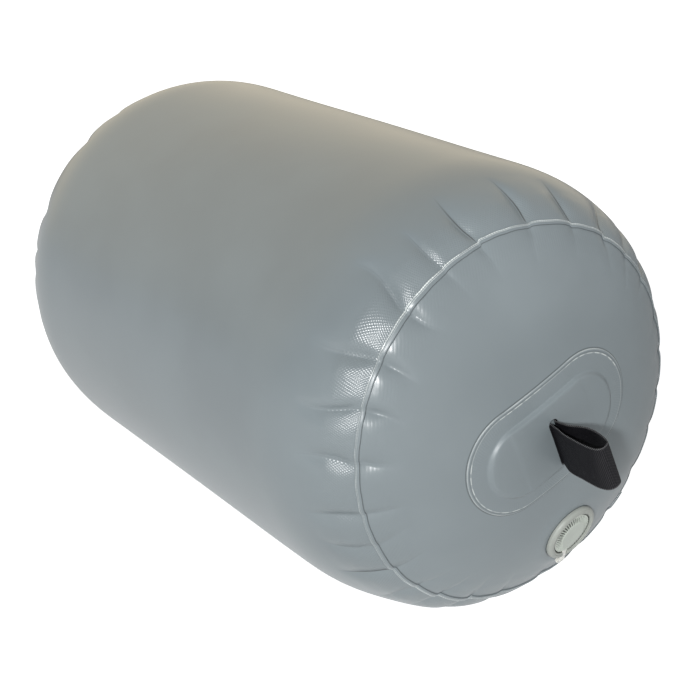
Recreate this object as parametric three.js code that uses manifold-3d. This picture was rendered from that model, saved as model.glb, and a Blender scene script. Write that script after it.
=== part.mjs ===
// Cylindrical inflatable fender for boats, lying on its side: a rolled fabric body, two domed ends
// gathered into round seams, a webbing loop held by a welded patch on each end, and an air valve.
// Millimetres. X runs along the fender towards the valve, Z is up, and the floor is at z = 0.
// Angles round the fender are in degrees from +Y towards +Z.
import * as THREE from "three";
import { mergeVertices } from "three/addons/utils/BufferGeometryUtils.js";
import Module from "manifold-3d";

const wasm = await Module();
wasm.setup();

// Overall form: a straight cylinder between two superelliptic domes.
const radius = 225;
const straightHalf = 218.7;
const domeDepth = 156.4;
const domeExponent = 2.509;
const seamRadius = 184.5;
const flatDepth = 2;
const axisHeight = radius - flatDepth;
const sheet = 1;
const gap = 0.35;

// Gathers at each seam, as [angle of the valley, its depth].
const frontGathers = [
  [8, 2.4], [20, 2.8], [35, 3.4], [46.5, 2.2], [58, 4.4], [72.5, 3.6], [89, 4.4], [107, 4.8],
  [120, 2.4], [133, 6.0], [151, 5.6], [168.5, 4.6], [180.3, 4.2], [196.5, 4.4], [208, 2.2],
  [219.5, 4.0], [231, 2.4], [241, 2.8], [254, 3.0], [266, 2.4], [282, 2.8], [297, 3.2],
  [312, 3.0], [328, 3.4], [343, 3.2], [355, 2.4],
];
const rearGathers = [
  [6, 3.0], [21, 3.4], [38, 3.2], [52, 2.8], [66, 3.6], [79, 3.0], [92.5, 3.2], [103, 2.8],
  [115.6, 4.2], [134, 4.6], [152.4, 4.8], [165.7, 4.4], [175.5, 3.6], [187, 4.0], [201, 3.4],
  [216, 3.2], [230, 3.0], [243, 2.6], [255, 2.6], [266, 2.4], [282, 2.6], [296, 3.0],
  [311, 3.0], [326, 3.4], [340, 3.2], [353, 2.8],
];
const crestHeight = 1.7;
const puffExponent = 2.2;
const deepestFromSeam = 20;
const gatherReachDisc = 42;
const gatherReachBody = 44;
const reachPerDepth = 4.2;
const seamHold = 0.5;
const seamHoldWidth = 9;

// Lengthwise lap seam of the body sheet.
const lapEdge = 320;
const lapWidth = 7;
const lapRamp = 1.2;
const lapStep = 0.3;
const lapColumns = [lapEdge - lapWidth, lapEdge - lapWidth + lapRamp, lapEdge, lapEdge + lapStep];

// Round seams: a narrow strip outside and a wider tape inside.
const stripHalf = 3.5;
const stripThick = 0.8;
const stripGap = 0.5;
const tapeHalf = 14;
const tapeThick = 0.8;
const tapeGap = 1.3;

// Handle patches. U runs along the patch, turned from +Y, and W runs across it.
const patchTurn = 24;
const baseThick = 0.7;
const webThick = 1.3;
const coverThick = 0.9;
const webTop = 15;
const webLow = -35;
const tailLength = 42;
const slitMiddle = 0.6;
const bowGap = 0.3;

// Air valve on the front dome, on its own axis.
const valveAngle = -69.8;
const valveRadius = 130;
const valveHole = 20;
const rimRadius = 30.5;
const rimTop = 6;
const recessRadius = 23.4;
const recessFloor = 1.2;
const boreRadius = 15.6;
const neckRadius = 19;
const neckEnd = -24;
const hubTop = -16;
const hubBottom = -19;
const hubRadius = 6;
const hubBore = 2.9;
const capRadius = 22.2;
const capRibs = 44;
const tetherTurn = -20;
const tetherWidth = 7;
const notchWidth = tetherWidth + 1.4;
const roundSegments = 32;

const fender = new THREE.Group();
const degrees = Math.PI / 180;

function material(color, roughness, metalness = 0) {
  return new THREE.MeshStandardMaterial({ color, roughness, metalness });
}

const fabric = material(0x848c8f, 0.42);
const trim = material(0x949b9c, 0.4);
const webbing = material(0x222224, 0.85);
const valvePlastic = material(0xa9aea6, 0.45);
const capPlastic = material(0xbcc0b8, 0.4);
const softPlastic = material(0xd9dbd4, 0.35);
const rubber = material(0x2b2b2b, 0.8);
const springSteel = material(0xb8bcc0, 0.3, 1);

function addPart(name, geometry, look, parent = fender) {
  const mesh = new THREE.Mesh(geometry, look);
  mesh.name = name;
  parent.add(mesh);
  return mesh;
}

// A geometry from a list of corner points, three to a triangle, turned to face outwards.
function facingOut(points) {
  let volume = 0;
  for (let i = 0; i < points.length; i += 3)
    volume += points[i].dot(points[i + 1].clone().cross(points[i + 2]));
  if (volume < 0)
    for (let i = 0; i < points.length; i += 3)
      [points[i + 1], points[i + 2]] = [points[i + 2], points[i + 1]];
  const geometry = new THREE.BufferGeometry().setFromPoints(points);
  geometry.computeVertexNormals();
  return geometry;
}

// Closed surface through sections with equal numbers of corners. With wrap the last section joins
// the first, and without it the two end sections are capped. Triangles of no width are left out.
function loft(sections, wrap) {
  const points = [];
  const corners = sections[0].length;
  const same = (a, b) => a.distanceTo(b) < 1e-4;
  const add = (a, b, c) => {
    if (!same(a, b) && !same(b, c) && !same(c, a)) points.push(a, b, c);
  };
  const spans = wrap ? sections.length : sections.length - 1;
  for (let i = 0; i < spans; i++) {
    const here = sections[i];
    const next = sections[(i + 1) % sections.length];
    for (let k = 0; k < corners; k++) {
      const l = (k + 1) % corners;
      add(here[k], next[k], next[l]);
      add(here[k], next[l], here[l]);
    }
  }
  if (!wrap) {
    const first = sections[0];
    const last = sections[sections.length - 1];
    for (let k = 1; k < corners - 1; k++) {
      add(first[0], first[k], first[k + 1]);
      add(last[0], last[k + 1], last[k]);
    }
  }
  return facingOut(points);
}

// A profile of [radius, height] corners turned about the Z axis.
function turned(profile, segments = roundSegments) {
  const sections = [];
  for (let i = 0; i < segments; i++) {
    const angle = (2 * Math.PI * i) / segments;
    sections.push(profile.map(([r, z]) =>
      new THREE.Vector3(r * Math.cos(angle), r * Math.sin(angle), z)));
  }
  return loft(sections, true);
}

function toSolid(geometry) {
  const bare = geometry.clone();
  bare.deleteAttribute("normal");
  bare.deleteAttribute("uv");
  const merged = mergeVertices(bare, 1e-4);
  return new wasm.Manifold(new wasm.Mesh({
    numProp: 3,
    vertProperties: merged.attributes.position.array,
    triVerts: new Uint32Array(merged.index.array),
  }));
}

function fromSolid(solid) {
  const { vertProperties, triVerts } = solid.getMesh();
  const geometry = new THREE.BufferGeometry();
  geometry.setAttribute("position", new THREE.BufferAttribute(vertProperties, 3));
  geometry.setIndex(new THREE.BufferAttribute(triVerts, 1));
  return geometry.toNonIndexed();
}

// Smooth dome and cylinder

// Reach along X of the smooth dome at a distance r from the axis.
function domeX(r) {
  const share = Math.min(1, (r / radius) ** domeExponent);
  return straightHalf + domeDepth * (1 - share) ** (1 / domeExponent);
}

// Point of the smooth profile at an angle of 0 where the cylinder ends and 90 at the dome's middle,
// with its outward normal and its distance from the seam, which counts positive on the body.
function profileAt(turn) {
  const c = Math.cos(turn * degrees);
  const s = Math.sin(turn * degrees);
  const x = straightHalf + domeDepth * s ** (2 / domeExponent);
  const r = turn >= 90 ? 0 : radius * c ** (2 / domeExponent);
  const alongX = ((x - straightHalf) / domeDepth) ** (domeExponent - 1) / domeDepth;
  const alongR = (r / radius) ** (domeExponent - 1) / radius;
  const length = Math.hypot(alongX, alongR);
  const away = Math.hypot(x - domeX(seamRadius), r - seamRadius);
  return {
    x, r,
    nx: alongX / length,
    nr: alongR / length,
    fromSeam: r > seamRadius ? away : -away,
  };
}

const seamTurn = Math.acos((seamRadius / radius) ** (domeExponent / 2)) / degrees;

// Profile point at a small distance from the seam, positive towards the body.
function nearSeam(distance) {
  const perDegree = profileAt(seamTurn - 1).fromSeam;
  return profileAt(seamTurn - distance / perDegree);
}

// Gathers: cusped valleys along the meridians with rounded puffs between them.
function gatherLift(angle, fromSeam, gathers) {
  const turn = ((angle % 360) + 360) % 360;
  let i = gathers.findIndex(([valley]) => valley > turn);
  if (i < 0) i = 0;
  const [nextAngle, nextDepth] = gathers[i];
  const [lastAngle, lastDepth] = gathers[(i + gathers.length - 1) % gathers.length];
  const width = (nextAngle - lastAngle + 360) % 360;
  const share = (((turn - lastAngle + 360) % 360) / width) % 1;
  const depth = lastDepth + (nextDepth - lastDepth) * share;
  const puff = 1 - Math.abs(2 * share - 1) ** puffExponent;
  const reach = fromSeam > deepestFromSeam
    ? gatherReachBody + reachPerDepth * depth - deepestFromSeam
    : gatherReachDisc + deepestFromSeam;
  const fade = Math.max(0, 1 - ((fromSeam - deepestFromSeam) / reach) ** 2) ** 1.5;
  const held = 1 - seamHold * Math.exp(-((fromSeam / seamHoldWidth) ** 2));
  return fade * held * (crestHeight * puff - depth * (1 - puff));
}

// Extra thickness where the body sheet laps over itself.
function lapLift(angle) {
  const before = lapEdge - angle;
  if (before < -lapStep / 2 || before > lapWidth) return 0;
  return sheet * Math.min(1, (lapWidth - before) / lapRamp);
}

// Point on the fender's skin, lifted along the outward normal. side is 1 in front and -1 behind.
function skinPoint(profile, angle, side, gathers, lift) {
  const raise = lift + gatherLift(angle, profile.fromSeam, gathers);
  const r = profile.r + profile.nr * raise;
  const z = axisHeight + r * Math.sin(angle * degrees);
  return new THREE.Vector3(
    side * (profile.x + profile.nx * raise),
    r * Math.cos(angle * degrees),
    profile.r > seamRadius ? Math.max(z, lift < 0 ? -lift : 0) : z,
  );
}

// Three columns to a gather, its valley and the two shoulders of the puff after it, and the lap's.
function columnsOf(gathers) {
  const angles = [...lapColumns];
  gathers.forEach(([valley], i) => {
    const width = (gathers[(i + 1) % gathers.length][0] - valley + 360) % 360;
    for (const share of [0, 0.3, 0.7]) angles.push((valley + share * width) % 360);
  });
  return angles.sort((a, b) => a - b);
}

// Body sheet: one rolled panel from seam to seam, with its lap lengthwise along the back.
function bodyPanel() {
  const shoulderAt = (turns) => [...turns.map((t) => profileAt(t)), nearSeam(gap)];
  const outside = shoulderAt([0, 8, 16, 24, 30, 34.8]);
  const inside = shoulderAt([0, 12, 24, 33]);
  const frontAngles = columnsOf(frontGathers);
  const rearAngles = columnsOf(rearGathers);
  const sections = frontAngles.map((frontAngle, i) => {
    const walls = [1, -1].map((face) => {
      const row = (angle, side, gathers) => (face > 0 ? outside : inside).map((p) =>
        skinPoint(p, angle, side, gathers, face > 0 ? lapLift(angle) : -sheet));
      const behind = row(rearAngles[i], -1, rearGathers).reverse();
      return [...behind, ...row(frontAngle, 1, frontGathers)];
    });
    return [...walls[0], ...walls[1].reverse()];
  });
  return loft(sections, true);
}

// Domed end disc from just inside the seam to the middle.
function endPanel(side, gathers) {
  const rowsAt = (turns) => [nearSeam(-gap), ...turns.map((t) => profileAt(t))];
  const outside = rowsAt([43.5, 50, 58, 68, 79, 90]);
  const inside = rowsAt([45, 53, 61, 74, 90]);
  const sections = columnsOf(gathers).map((angle) => [
    ...outside.map((p) => skinPoint(p, angle, side, gathers, 0)),
    ...inside.map((p) => skinPoint(p, angle, side, gathers, -sheet)).reverse(),
  ]);
  return loft(sections, true);
}

// Ring of tape that follows the seam, between two lifts from the skin.
function seamRing(side, gathers, half, low, high, lap) {
  const rows = [half, -half].map((d) => nearSeam(d));
  const columns = columnsOf(gathers);
  const sections = columns.map((angle) => {
    const extra = lap ? lapLift(angle) : 0;
    const walls = [low, high].map((lift) =>
      rows.map((p) => skinPoint(p, angle, side, gathers, lift + extra)));
    return [...walls[0], ...walls[1].reverse()];
  });
  return loft(sections, true);
}

// Handle patches and loops

const baseLow = gap + bowGap;
const webLowFace = baseLow + baseThick + gap + bowGap / 2;
const pocketLow = webLowFace + webThick + gap + bowGap;
const apex = domeX(0);

// Point over the dome at patch coordinates, lifted along X.
function patchPoint(u, w, lift, side) {
  const y = u * Math.cos(patchTurn * degrees) - w * Math.sin(patchTurn * degrees);
  const z = u * Math.sin(patchTurn * degrees) + w * Math.cos(patchTurn * degrees);
  const x = side * (domeX(Math.hypot(y, z)) + lift);
  return new THREE.Vector3(x, y, axisHeight + z);
}

// Point of a rounded oblong's outline at a share of its length, from its +U end round by +W.
function oblongPoint(halfU, halfW, share) {
  const round = Math.min(halfU, halfW);
  const flatU = halfU - round;
  const flatW = halfW - round;
  const quarterLength = flatU + flatW + (Math.PI / 2) * round;
  const quarter = Math.floor(share * 4);
  const odd = quarter % 2;
  const part = share * 4 - quarter;
  const along = (odd ? 1 - part : part) * quarterLength;
  const bend = Math.min(Math.max((along - flatW) / round, 0), Math.PI / 2);
  const u = along < flatW ? halfU : flatU + round * Math.cos(bend)
    - Math.max(0, along - flatW - (Math.PI / 2) * round);
  const w = along < flatW ? along : flatW + round * Math.sin(bend);
  return [quarter === 1 || quarter === 2 ? -u : u, quarter > 1 ? -w : w];
}

// Cover patch: a slit for the webbing, a raised pocket over its tails and a welded flat border.
function handleCover(side) {
  const rings = [
    { u: slitMiddle, w: -9.8, halfU: 5.6, halfW: 27.4, lift: pocketLow },
    { u: -0.4, w: -5, halfU: 29, halfW: 31.5, lift: pocketLow },
    { u: -1.5, w: -2.4, halfU: 52, halfW: 33.4, lift: pocketLow },
    { u: -1.5, w: -2, halfU: 72.5, halfW: 33.8, lift: pocketLow },
    { u: -1.5, w: -2, halfU: 77.5, halfW: 38, lift: gap },
    { u: -1, w: 0, halfU: 97.5, halfW: 54.5, lift: gap },
  ];
  const count = 32;
  const sections = [];
  for (let i = 0; i < count; i++) {
    const walls = [0, coverThick].map((thick) => rings.map((ring) => {
      const [u, w] = oblongPoint(ring.halfU, ring.halfW, i / count);
      return patchPoint(ring.u + u, ring.w + w, ring.lift + thick, side);
    }));
    sections.push([...walls[0], ...walls[1].reverse()]);
  }
  return loft(sections, true);
}

// Base patch under the webbing, which the webbing is sewn to.
function handleBase(side) {
  const sections = [-1, -0.5, 0, 0.5, 1].map((share) => {
    const u = slitMiddle + share * (tailLength + 1);
    const across = [webLow + 1, (webTop + webLow) / 2, webTop - 1];
    const walls = [baseLow, baseLow + baseThick].map((lift) =>
      across.map((w) => patchPoint(u, w, lift, side)));
    return [...walls[0], ...walls[1].reverse()];
  });
  return loft(sections, false);
}

// Middle line of the standing loop as [U, height over the apex], at its two selvedges, from the
// side that faces -U, over the tip, to the side that faces +U.
const loopTop = [
  [-3.2, 2.7], [-2.2, 5], [-2.6, 9], [-3.6, 16], [-5.4, 24], [-6.2, 34], [-6.6, 46], [-6.4, 57],
  [-5, 65.5], [-1, 69.8], [4, 70], [8, 67.4], [10.8, 58], [12, 48], [11.6, 39], [9.4, 31], [5.6, 22],
  [4, 14], [3.6, 8], [3.4, 5], [4.4, 2.7],
];
const loopLow = [
  [-3.2, 2.7], [-2.3, 5], [-4, 9], [-6.6, 16], [-7.6, 24], [-7.6, 34], [-8, 46], [-7.8, 56],
  [-5.6, 64.5], [-1, 68.6], [5, 68.8], [9.4, 66], [11, 57], [10.6, 46], [9.6, 36], [8.4, 27], [6.4, 19],
  [4.6, 12], [3.6, 8], [3.4, 5], [4.4, 2.7],
];

// Webbing strap: a tail each way under the cover and one standing loop between them.
function handleWebbing(side) {
  const lay = webLowFace + webThick / 2;
  const tailStops = [1, 0.6, 0.2].map((share) => share * tailLength);
  const edge = (loop, w) => {
    const tail = (way) => tailStops.map((u) => {
      const r = Math.hypot(u, w);
      return [way * u + slitMiddle, domeX(r) - apex + lay];
    });
    return [...tail(-1), ...loop, ...tail(1).reverse()];
  };
  const loopMiddle = loopTop.map(([u, x], i) => [(u + loopLow[i][0]) / 2, (x + loopLow[i][1]) / 2]);
  const middle = (webTop + webLow) / 2;
  const edges = [[loopTop, webTop], [loopMiddle, middle], [loopLow, webLow]].map(([loop, w]) =>
    ({ line: edge(loop, w), w }));
  const corner = ({ line, w }, i, face) => {
    const from = line[Math.max(i - 1, 0)];
    const to = line[Math.min(i + 1, line.length - 1)];
    const length = Math.hypot(to[0] - from[0], to[1] - from[1]);
    const u = line[i][0] + (face * (to[1] - from[1]) * webThick) / (2 * length);
    const x = line[i][1] - (face * (to[0] - from[0]) * webThick) / (2 * length);
    const flat = patchPoint(u, w, 0, side);
    return new THREE.Vector3(side * (apex + x), flat.y, flat.z);
  };
  const sections = edges[0].line.map((_, i) => [
    ...edges.map((e) => corner(e, i, 1)),
    ...edges.map((e) => corner(e, i, -1)).reverse(),
  ]);
  return loft(sections, false);
}

// Air valve, in its own frame: origin on the dome, X away from the fender's axis, Z outwards.

function valveFrame() {
  const slopeStep = 0.5;
  const rise = domeX(valveRadius + slopeStep) - domeX(valveRadius - slopeStep);
  const tilt = Math.atan2(-rise, 2 * slopeStep);
  const turn = valveAngle * degrees;
  const radial = new THREE.Vector3(0, Math.cos(turn), Math.sin(turn));
  const out = radial.clone().multiplyScalar(Math.sin(tilt)).setX(Math.cos(tilt));
  const away = radial.clone().multiplyScalar(Math.cos(tilt)).setX(-Math.sin(tilt));
  const across = out.clone().cross(away);
  const place = radial.clone().multiplyScalar(valveRadius).setX(domeX(valveRadius));
  place.z += axisHeight;
  return new THREE.Matrix4().makeBasis(away, across, out).setPosition(place);
}

// Round rod along Z between two heights.
function rod(r, low, high, segments = roundSegments) {
  return turned([[0, low], [r, low], [r, high], [0, high]], segments);
}

function boxAt(length, width, height, x, y, z) {
  return new THREE.BoxGeometry(length, width, height).translate(x, y, z);
}

// Flange ring, recess, neck and the spider that guides the stem, moulded in one.
function valveBody() {
  const shell = toSolid(turned([
    [rimRadius, -0.9], [rimRadius, 2.2], [29.6, 4.2], [27.6, rimTop - 0.4], [25.8, rimTop],
    [24.2, rimTop], [recessRadius, 5.2], [recessRadius, recessFloor], [boreRadius, recessFloor],
    [boreRadius, neckEnd], [neckRadius, neckEnd], [neckRadius, 0.35],
  ]));
  const hub = [[hubBore, hubBottom], [hubRadius, hubBottom], [hubRadius, hubTop], [hubBore, hubTop]];
  let body = shell.add(toSolid(turned(hub)));
  const armLength = boreRadius - hubRadius + 1.4;
  const armMiddle = (boreRadius + hubRadius) / 2;
  for (let i = 0; i < 4; i++) {
    const arm = boxAt(armLength, 2.4, hubTop - hubBottom, armMiddle, 0, (hubTop + hubBottom) / 2);
    body = body.add(toSolid(arm.rotateZ((i * Math.PI) / 2)));
  }
  const notchHeight = 8;
  const notchLength = 14;
  const notchMiddle = recessFloor + notchHeight / 2;
  const notch = boxAt(notchLength, notchWidth, notchHeight, recessRadius + 5, 0, notchMiddle);
  return fromSolid(body.subtract(toSolid(notch.rotateZ(tetherTurn * degrees))));
}

const gasketTop = -4.6;
const nutTop = -6.4;

function flangeGasket() {
  const inner = neckRadius + 0.5;
  const outer = 27;
  const low = gasketTop - 1.4;
  return turned([[inner, gasketTop], [outer, gasketTop], [outer, low], [inner, low]]);
}

// Ring nut inside the fender, with eight notches for a spanner.
function backNut() {
  const inner = neckRadius + 0.4;
  const outer = 28;
  const low = nutTop - 7;
  let nut = toSolid(turned([[inner, low], [outer, low], [outer, nutTop], [inner, nutTop]]));
  for (let i = 0; i < 8; i++) {
    const notch = boxAt(5, 5, 5, outer, 0, low);
    nut = nut.subtract(toSolid(notch.rotateZ((i * Math.PI) / 4)));
  }
  return fromSolid(nut);
}

const headTop = -5;
const headBottom = -7.4;
const headRadius = 7.4;
const stemRadius = 2.4;
const poppetTop = -27.4;
const poppetRadius = 17.4;

// Push stem: button head, rod through the spider's hub, and poppet disc.
function valveStem() {
  const edge = 0.6;
  const poppetBottom = poppetTop - 2.2;
  return turned([
    [0, headTop], [headRadius - edge, headTop], [headRadius, headTop - edge], [headRadius, headBottom],
    [stemRadius, headBottom], [stemRadius, poppetTop], [poppetRadius, poppetTop],
    [poppetRadius, poppetBottom], [0, poppetBottom],
  ], 24);
}

// Flat rubber disc that the spring pulls against the end of the neck.
function stemSeal() {
  const top = neckEnd - gap;
  const bottom = poppetTop + gap;
  const outer = poppetRadius + 1;
  return turned([[hubBore, top], [outer, top], [outer, bottom], [hubBore, bottom]], 24);
}

// Straight coil spring between the hub and the button head.
function stemSpring() {
  const coilRadius = 5;
  const wire = 0.4;
  const turns = 4;
  const low = hubTop + wire + gap;
  const high = headBottom - wire - gap;
  const stops = [];
  for (let i = 0; i <= turns * 8; i++) {
    const angle = (2 * Math.PI * i) / 8;
    const z = low + ((high - low) * i) / (turns * 8);
    stops.push(new THREE.Vector3(coilRadius * Math.cos(angle), coilRadius * Math.sin(angle), z));
  }
  const path = new THREE.CatmullRomCurve3(stops);
  const round = new THREE.Shape().absarc(0, 0, wire, 0, 2 * Math.PI);
  return new THREE.ExtrudeGeometry(round, { extrudePath: path, steps: turns * 8, curveSegments: 3 });
}

// Screw cap: a flat face, a sloping flank with radial grip ribs, and a hollow plug below.
function valveCap() {
  const face = [[0, 5], [16.8, 5]];
  const under = [
    [capRadius, 2.9], [15.2, 2.9], [14.9, -4.4], [12.2, -4.4], [12.4, 2.2], [0, 2.2],
  ];
  const sections = [];
  for (let i = 0; i < capRibs * 2; i++) {
    const groove = i % 2 ? 1 : 0;
    const flank = [[capRadius - 0.5 * groove, 3.7 - 0.6 * groove]];
    const angle = (Math.PI * i) / capRibs;
    sections.push([...face, ...flank, ...under].map(([r, z]) =>
      new THREE.Vector3(r * Math.cos(angle), r * Math.sin(angle), z)));
  }
  return loft(sections, true);
}

function capSeal() {
  return turned([[16, 1.55], [18.8, 1.55], [18.8, 2.55], [16, 2.55]], 24);
}

// Tether: a ring round the plug, under the cap's rim, and a strap that leaves by the notch and
// curls back against the flange.
function capTether() {
  const thick = 0.9;
  const line = [
    [21, 2.05], [26, 2.05], [31, 2.3], [35, 2.9], [38.1, 2.3], [39.5, 0.6], [38.5, -1.2], [35.5, -1.5],
    [32.9, -0.6], [31.5, 0.2],
  ];
  const sections = line.map(([r, z], i) => {
    const from = line[Math.max(i - 1, 0)];
    const to = line[Math.min(i + 1, line.length - 1)];
    const length = Math.hypot(to[0] - from[0], to[1] - from[1]);
    const across = [(to[1] - from[1]) / length, -(to[0] - from[0]) / length];
    return [[1, 1], [-1, 1], [-1, -1], [1, -1]].map(([face, way]) => new THREE.Vector3(
      r + (face * across[0] * thick) / 2,
      (way * tetherWidth) / 2,
      z + (face * across[1] * thick) / 2,
    ));
  });
  const strap = loft(sections, false).rotateZ(tetherTurn * degrees);
  const ring = turned([[19.4, 1.6], [22, 1.6], [22, 2.5], [19.4, 2.5]], 24);
  return fromSolid(toSolid(strap).add(toSolid(ring)));
}

function addValve() {
  const valve = new THREE.Group();
  valve.applyMatrix4(valveFrame());
  fender.add(valve);
  addPart("valve_body", valveBody(), valvePlastic, valve);
  addPart("flange_gasket", flangeGasket(), rubber, valve);
  addPart("back_nut", backNut(), valvePlastic, valve);
  addPart("valve_stem", valveStem(), valvePlastic, valve);
  addPart("stem_seal", stemSeal(), rubber, valve);
  addPart("stem_spring", stemSpring(), springSteel, valve);
  addPart("valve_cap", valveCap(), capPlastic, valve);
  addPart("cap_seal", capSeal(), rubber, valve);
  addPart("cap_tether", capTether(), softPlastic, valve);
}

function addEnd(label, side, gathers, panel) {
  const tapeTop = -sheet - tapeGap;
  const strip = seamRing(side, gathers, stripHalf, stripGap, stripGap + stripThick, true);
  const tape = seamRing(side, gathers, tapeHalf, tapeTop - tapeThick, tapeTop, false);
  addPart(`${label}_end_panel`, panel, fabric);
  addPart(`${label}_seam_strip`, strip, trim);
  addPart(`${label}_seam_tape`, tape, fabric);
  addPart(`${label}_handle_base`, handleBase(side), fabric);
  addPart(`${label}_handle_webbing`, handleWebbing(side), webbing);
  addPart(`${label}_handle_cover`, handleCover(side), fabric);
}

const hole = toSolid(rod(valveHole, -40, 20).applyMatrix4(valveFrame()));
const frontPanel = fromSolid(toSolid(endPanel(1, frontGathers)).subtract(hole));

addPart("body_panel", bodyPanel(), fabric);
addEnd("front", 1, frontGathers, frontPanel);
addEnd("rear", -1, rearGathers, endPanel(-1, rearGathers));
addValve();

export default fender;
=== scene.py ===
"""Inflatable boat fender: gathered fabric skin, welded seams, webbing loops and an air valve.

Metres. X runs along the fender towards the valve, Z is up, and the floor is at z = 0.
Angles round the fender are in degrees from +Y towards +Z.
"""

import math

import bmesh
import bpy
import numpy as np
from bpy.props import FloatProperty, FloatVectorProperty, PointerProperty
from mathutils import Matrix, Vector


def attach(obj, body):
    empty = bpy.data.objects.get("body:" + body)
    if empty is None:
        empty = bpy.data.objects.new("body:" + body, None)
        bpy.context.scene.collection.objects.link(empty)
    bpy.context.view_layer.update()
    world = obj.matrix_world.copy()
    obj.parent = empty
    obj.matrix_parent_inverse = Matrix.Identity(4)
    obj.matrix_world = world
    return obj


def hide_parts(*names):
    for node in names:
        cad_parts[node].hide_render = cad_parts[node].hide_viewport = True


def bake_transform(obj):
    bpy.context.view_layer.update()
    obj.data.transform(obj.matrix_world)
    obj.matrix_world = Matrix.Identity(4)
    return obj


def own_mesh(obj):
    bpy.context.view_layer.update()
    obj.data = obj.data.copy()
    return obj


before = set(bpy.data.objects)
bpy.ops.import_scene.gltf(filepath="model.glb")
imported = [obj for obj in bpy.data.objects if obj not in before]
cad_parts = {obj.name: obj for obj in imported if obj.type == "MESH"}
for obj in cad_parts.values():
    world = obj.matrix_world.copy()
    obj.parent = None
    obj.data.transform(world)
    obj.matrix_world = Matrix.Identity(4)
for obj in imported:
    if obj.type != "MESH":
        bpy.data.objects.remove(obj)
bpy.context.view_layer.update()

bl_info = {
    "name": "Inflatable fender",
    "version": (1, 0, 0),
    "blender": (4, 5, 0),
    "location": "3D View > Sidebar > Fender",
    "description": "Builds the skin, seams, handles and valve of an inflatable boat fender",
    "category": "Add Mesh",
}

MM = 0.001

# Overall form: a straight cylinder between two superelliptic domes.
RADIUS = 225 * MM
STRAIGHT_HALF = 218.7 * MM
DOME_DEPTH = 156.4 * MM
DOME_EXPONENT = 2.509
SEAM_RADIUS = 184.5 * MM
AXIS_HEIGHT = 223 * MM
SHEET = 1 * MM
GAP = 0.35 * MM
SHARP_ANGLE = math.radians(42)

# Gathers at each seam: the angle of each valley in degrees, and in millimetres its depth and how far
# the strip jumps there.
FRONT_GATHERS = np.array([
    (8, 2.4, 0.6), (20, 2.8, -0.8), (35, 3.4, -1.2), (46.5, 2.2, -1.0), (58, 4.4, -4.0),
    (72.5, 3.6, -1.8), (89, 4.4, 0.8), (107, 4.8, 2.4), (120, 2.4, 0.5), (135.5, 6.2, 1.0),
    (150.5, 5.8, 0.8), (164.5, 5.0, 0.5), (180.3, 5.2, 0.6), (196.5, 4.4, 0.6), (208, 2.2, 0.4),
    (219.5, 4.0, 2.0), (231, 2.4, 0.3), (241, 2.8, 2.2), (254, 3.0, 4.4), (266, 2.4, 0.8),
    (282, 2.8, 1.0), (297, 3.2, -0.8), (312, 3.0, 0.8), (328, 3.4, 1.0), (343, 3.2, -0.8),
    (355, 2.4, 0.6),
])
REAR_GATHERS = np.array([
    (6, 3.0, 0.8), (21, 3.4, 1.2), (38, 3.2, -1.0), (52, 2.8, 0.8), (66, 3.6, 1.6),
    (79, 3.0, -1.0), (92.5, 3.2, 0.8), (103, 2.8, 0.6), (115.6, 4.2, 1.8), (134, 4.6, -1.4),
    (152.4, 4.8, 1.0), (165.7, 4.4, 0.8), (175.5, 3.6, 0.6), (187, 4.0, -1.2), (201, 3.4, 0.8),
    (216, 3.2, 1.4), (230, 3.0, 0.6), (243, 2.6, 1.0), (255, 2.6, -1.6), (266, 2.4, 0.8),
    (282, 2.6, 0.8), (296, 3.0, 1.2), (311, 3.0, -1.0), (326, 3.4, 0.8), (340, 3.2, 1.4),
    (353, 2.8, 0.6),
])
DEEPEST_FROM_SEAM = 20 * MM
REACH_DISC = 42 * MM
REACH_BODY = 44 * MM
REACH_PER_DEPTH = 4.2
SEAM_HOLD = 0.5
SEAM_HOLD_BODY = 9 * MM
SEAM_HOLD_DISC = 5.4 * MM
JUMP_REACH = 16 * MM

# Flatter cloth low beside the front seam.
FLAT_DEPTH = 3 * MM
FLAT_ANGLE = 234
FLAT_HALF_ANGLE = 13
FLAT_DISTANCE = 66 * MM
FLAT_HALF_WIDTH = 34 * MM

# Tape welded over each round seam from inside.
TAPE_HALF = 14 * MM
TAPE_TOP = -2.3 * MM
TAPE_THICK = 0.8 * MM

# Lengthwise lap seam of the body sheet.
LAP_EDGE = 320
LAP_WIDTH = 7
LAP_RAMP = 1.2
LAP_STEP = 0.3
LAP_KNOTS = (LAP_EDGE - LAP_WIDTH, LAP_EDGE - LAP_WIDTH + LAP_RAMP, LAP_EDGE, LAP_EDGE + LAP_STEP)

# Handle patches. U runs along the patch, turned from +Y, and W runs across it.
PATCH_TURN = math.radians(24)
PATCH_STRAIGHT = 43 * MM
PATCH_END = 55 * MM
WEB_LOW_FACE = 1.85 * MM
POCKET_LOW = 3.8 * MM
COVER_THICK = 0.9 * MM
WEB_THICK = 1.3 * MM
WEB_TOP = 15 * MM
WEB_LOW = -35 * MM
WEB_TIP = 116 * MM
TAIL_LENGTH = 42 * MM
SLIT_MIDDLE = 0.6 * MM

# Air valve on the front dome.
VALVE_ANGLE = math.radians(-69.8)
VALVE_RADIUS = 130 * MM
VALVE_HOLE = 20 * MM
RIM_RADIUS = 30.5 * MM
RECESS_RADIUS = 23.8 * MM
RECESS_FLOOR = 1.2 * MM
TETHER_TURN = math.radians(-20)
TETHER_HALF = 3.5 * MM
NOTCH_HALF = 4.2 * MM
CAP_TEETH = 44
SPRING_LOW = -15.25 * MM
SPRING_HIGH = -8.15 * MM

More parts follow.
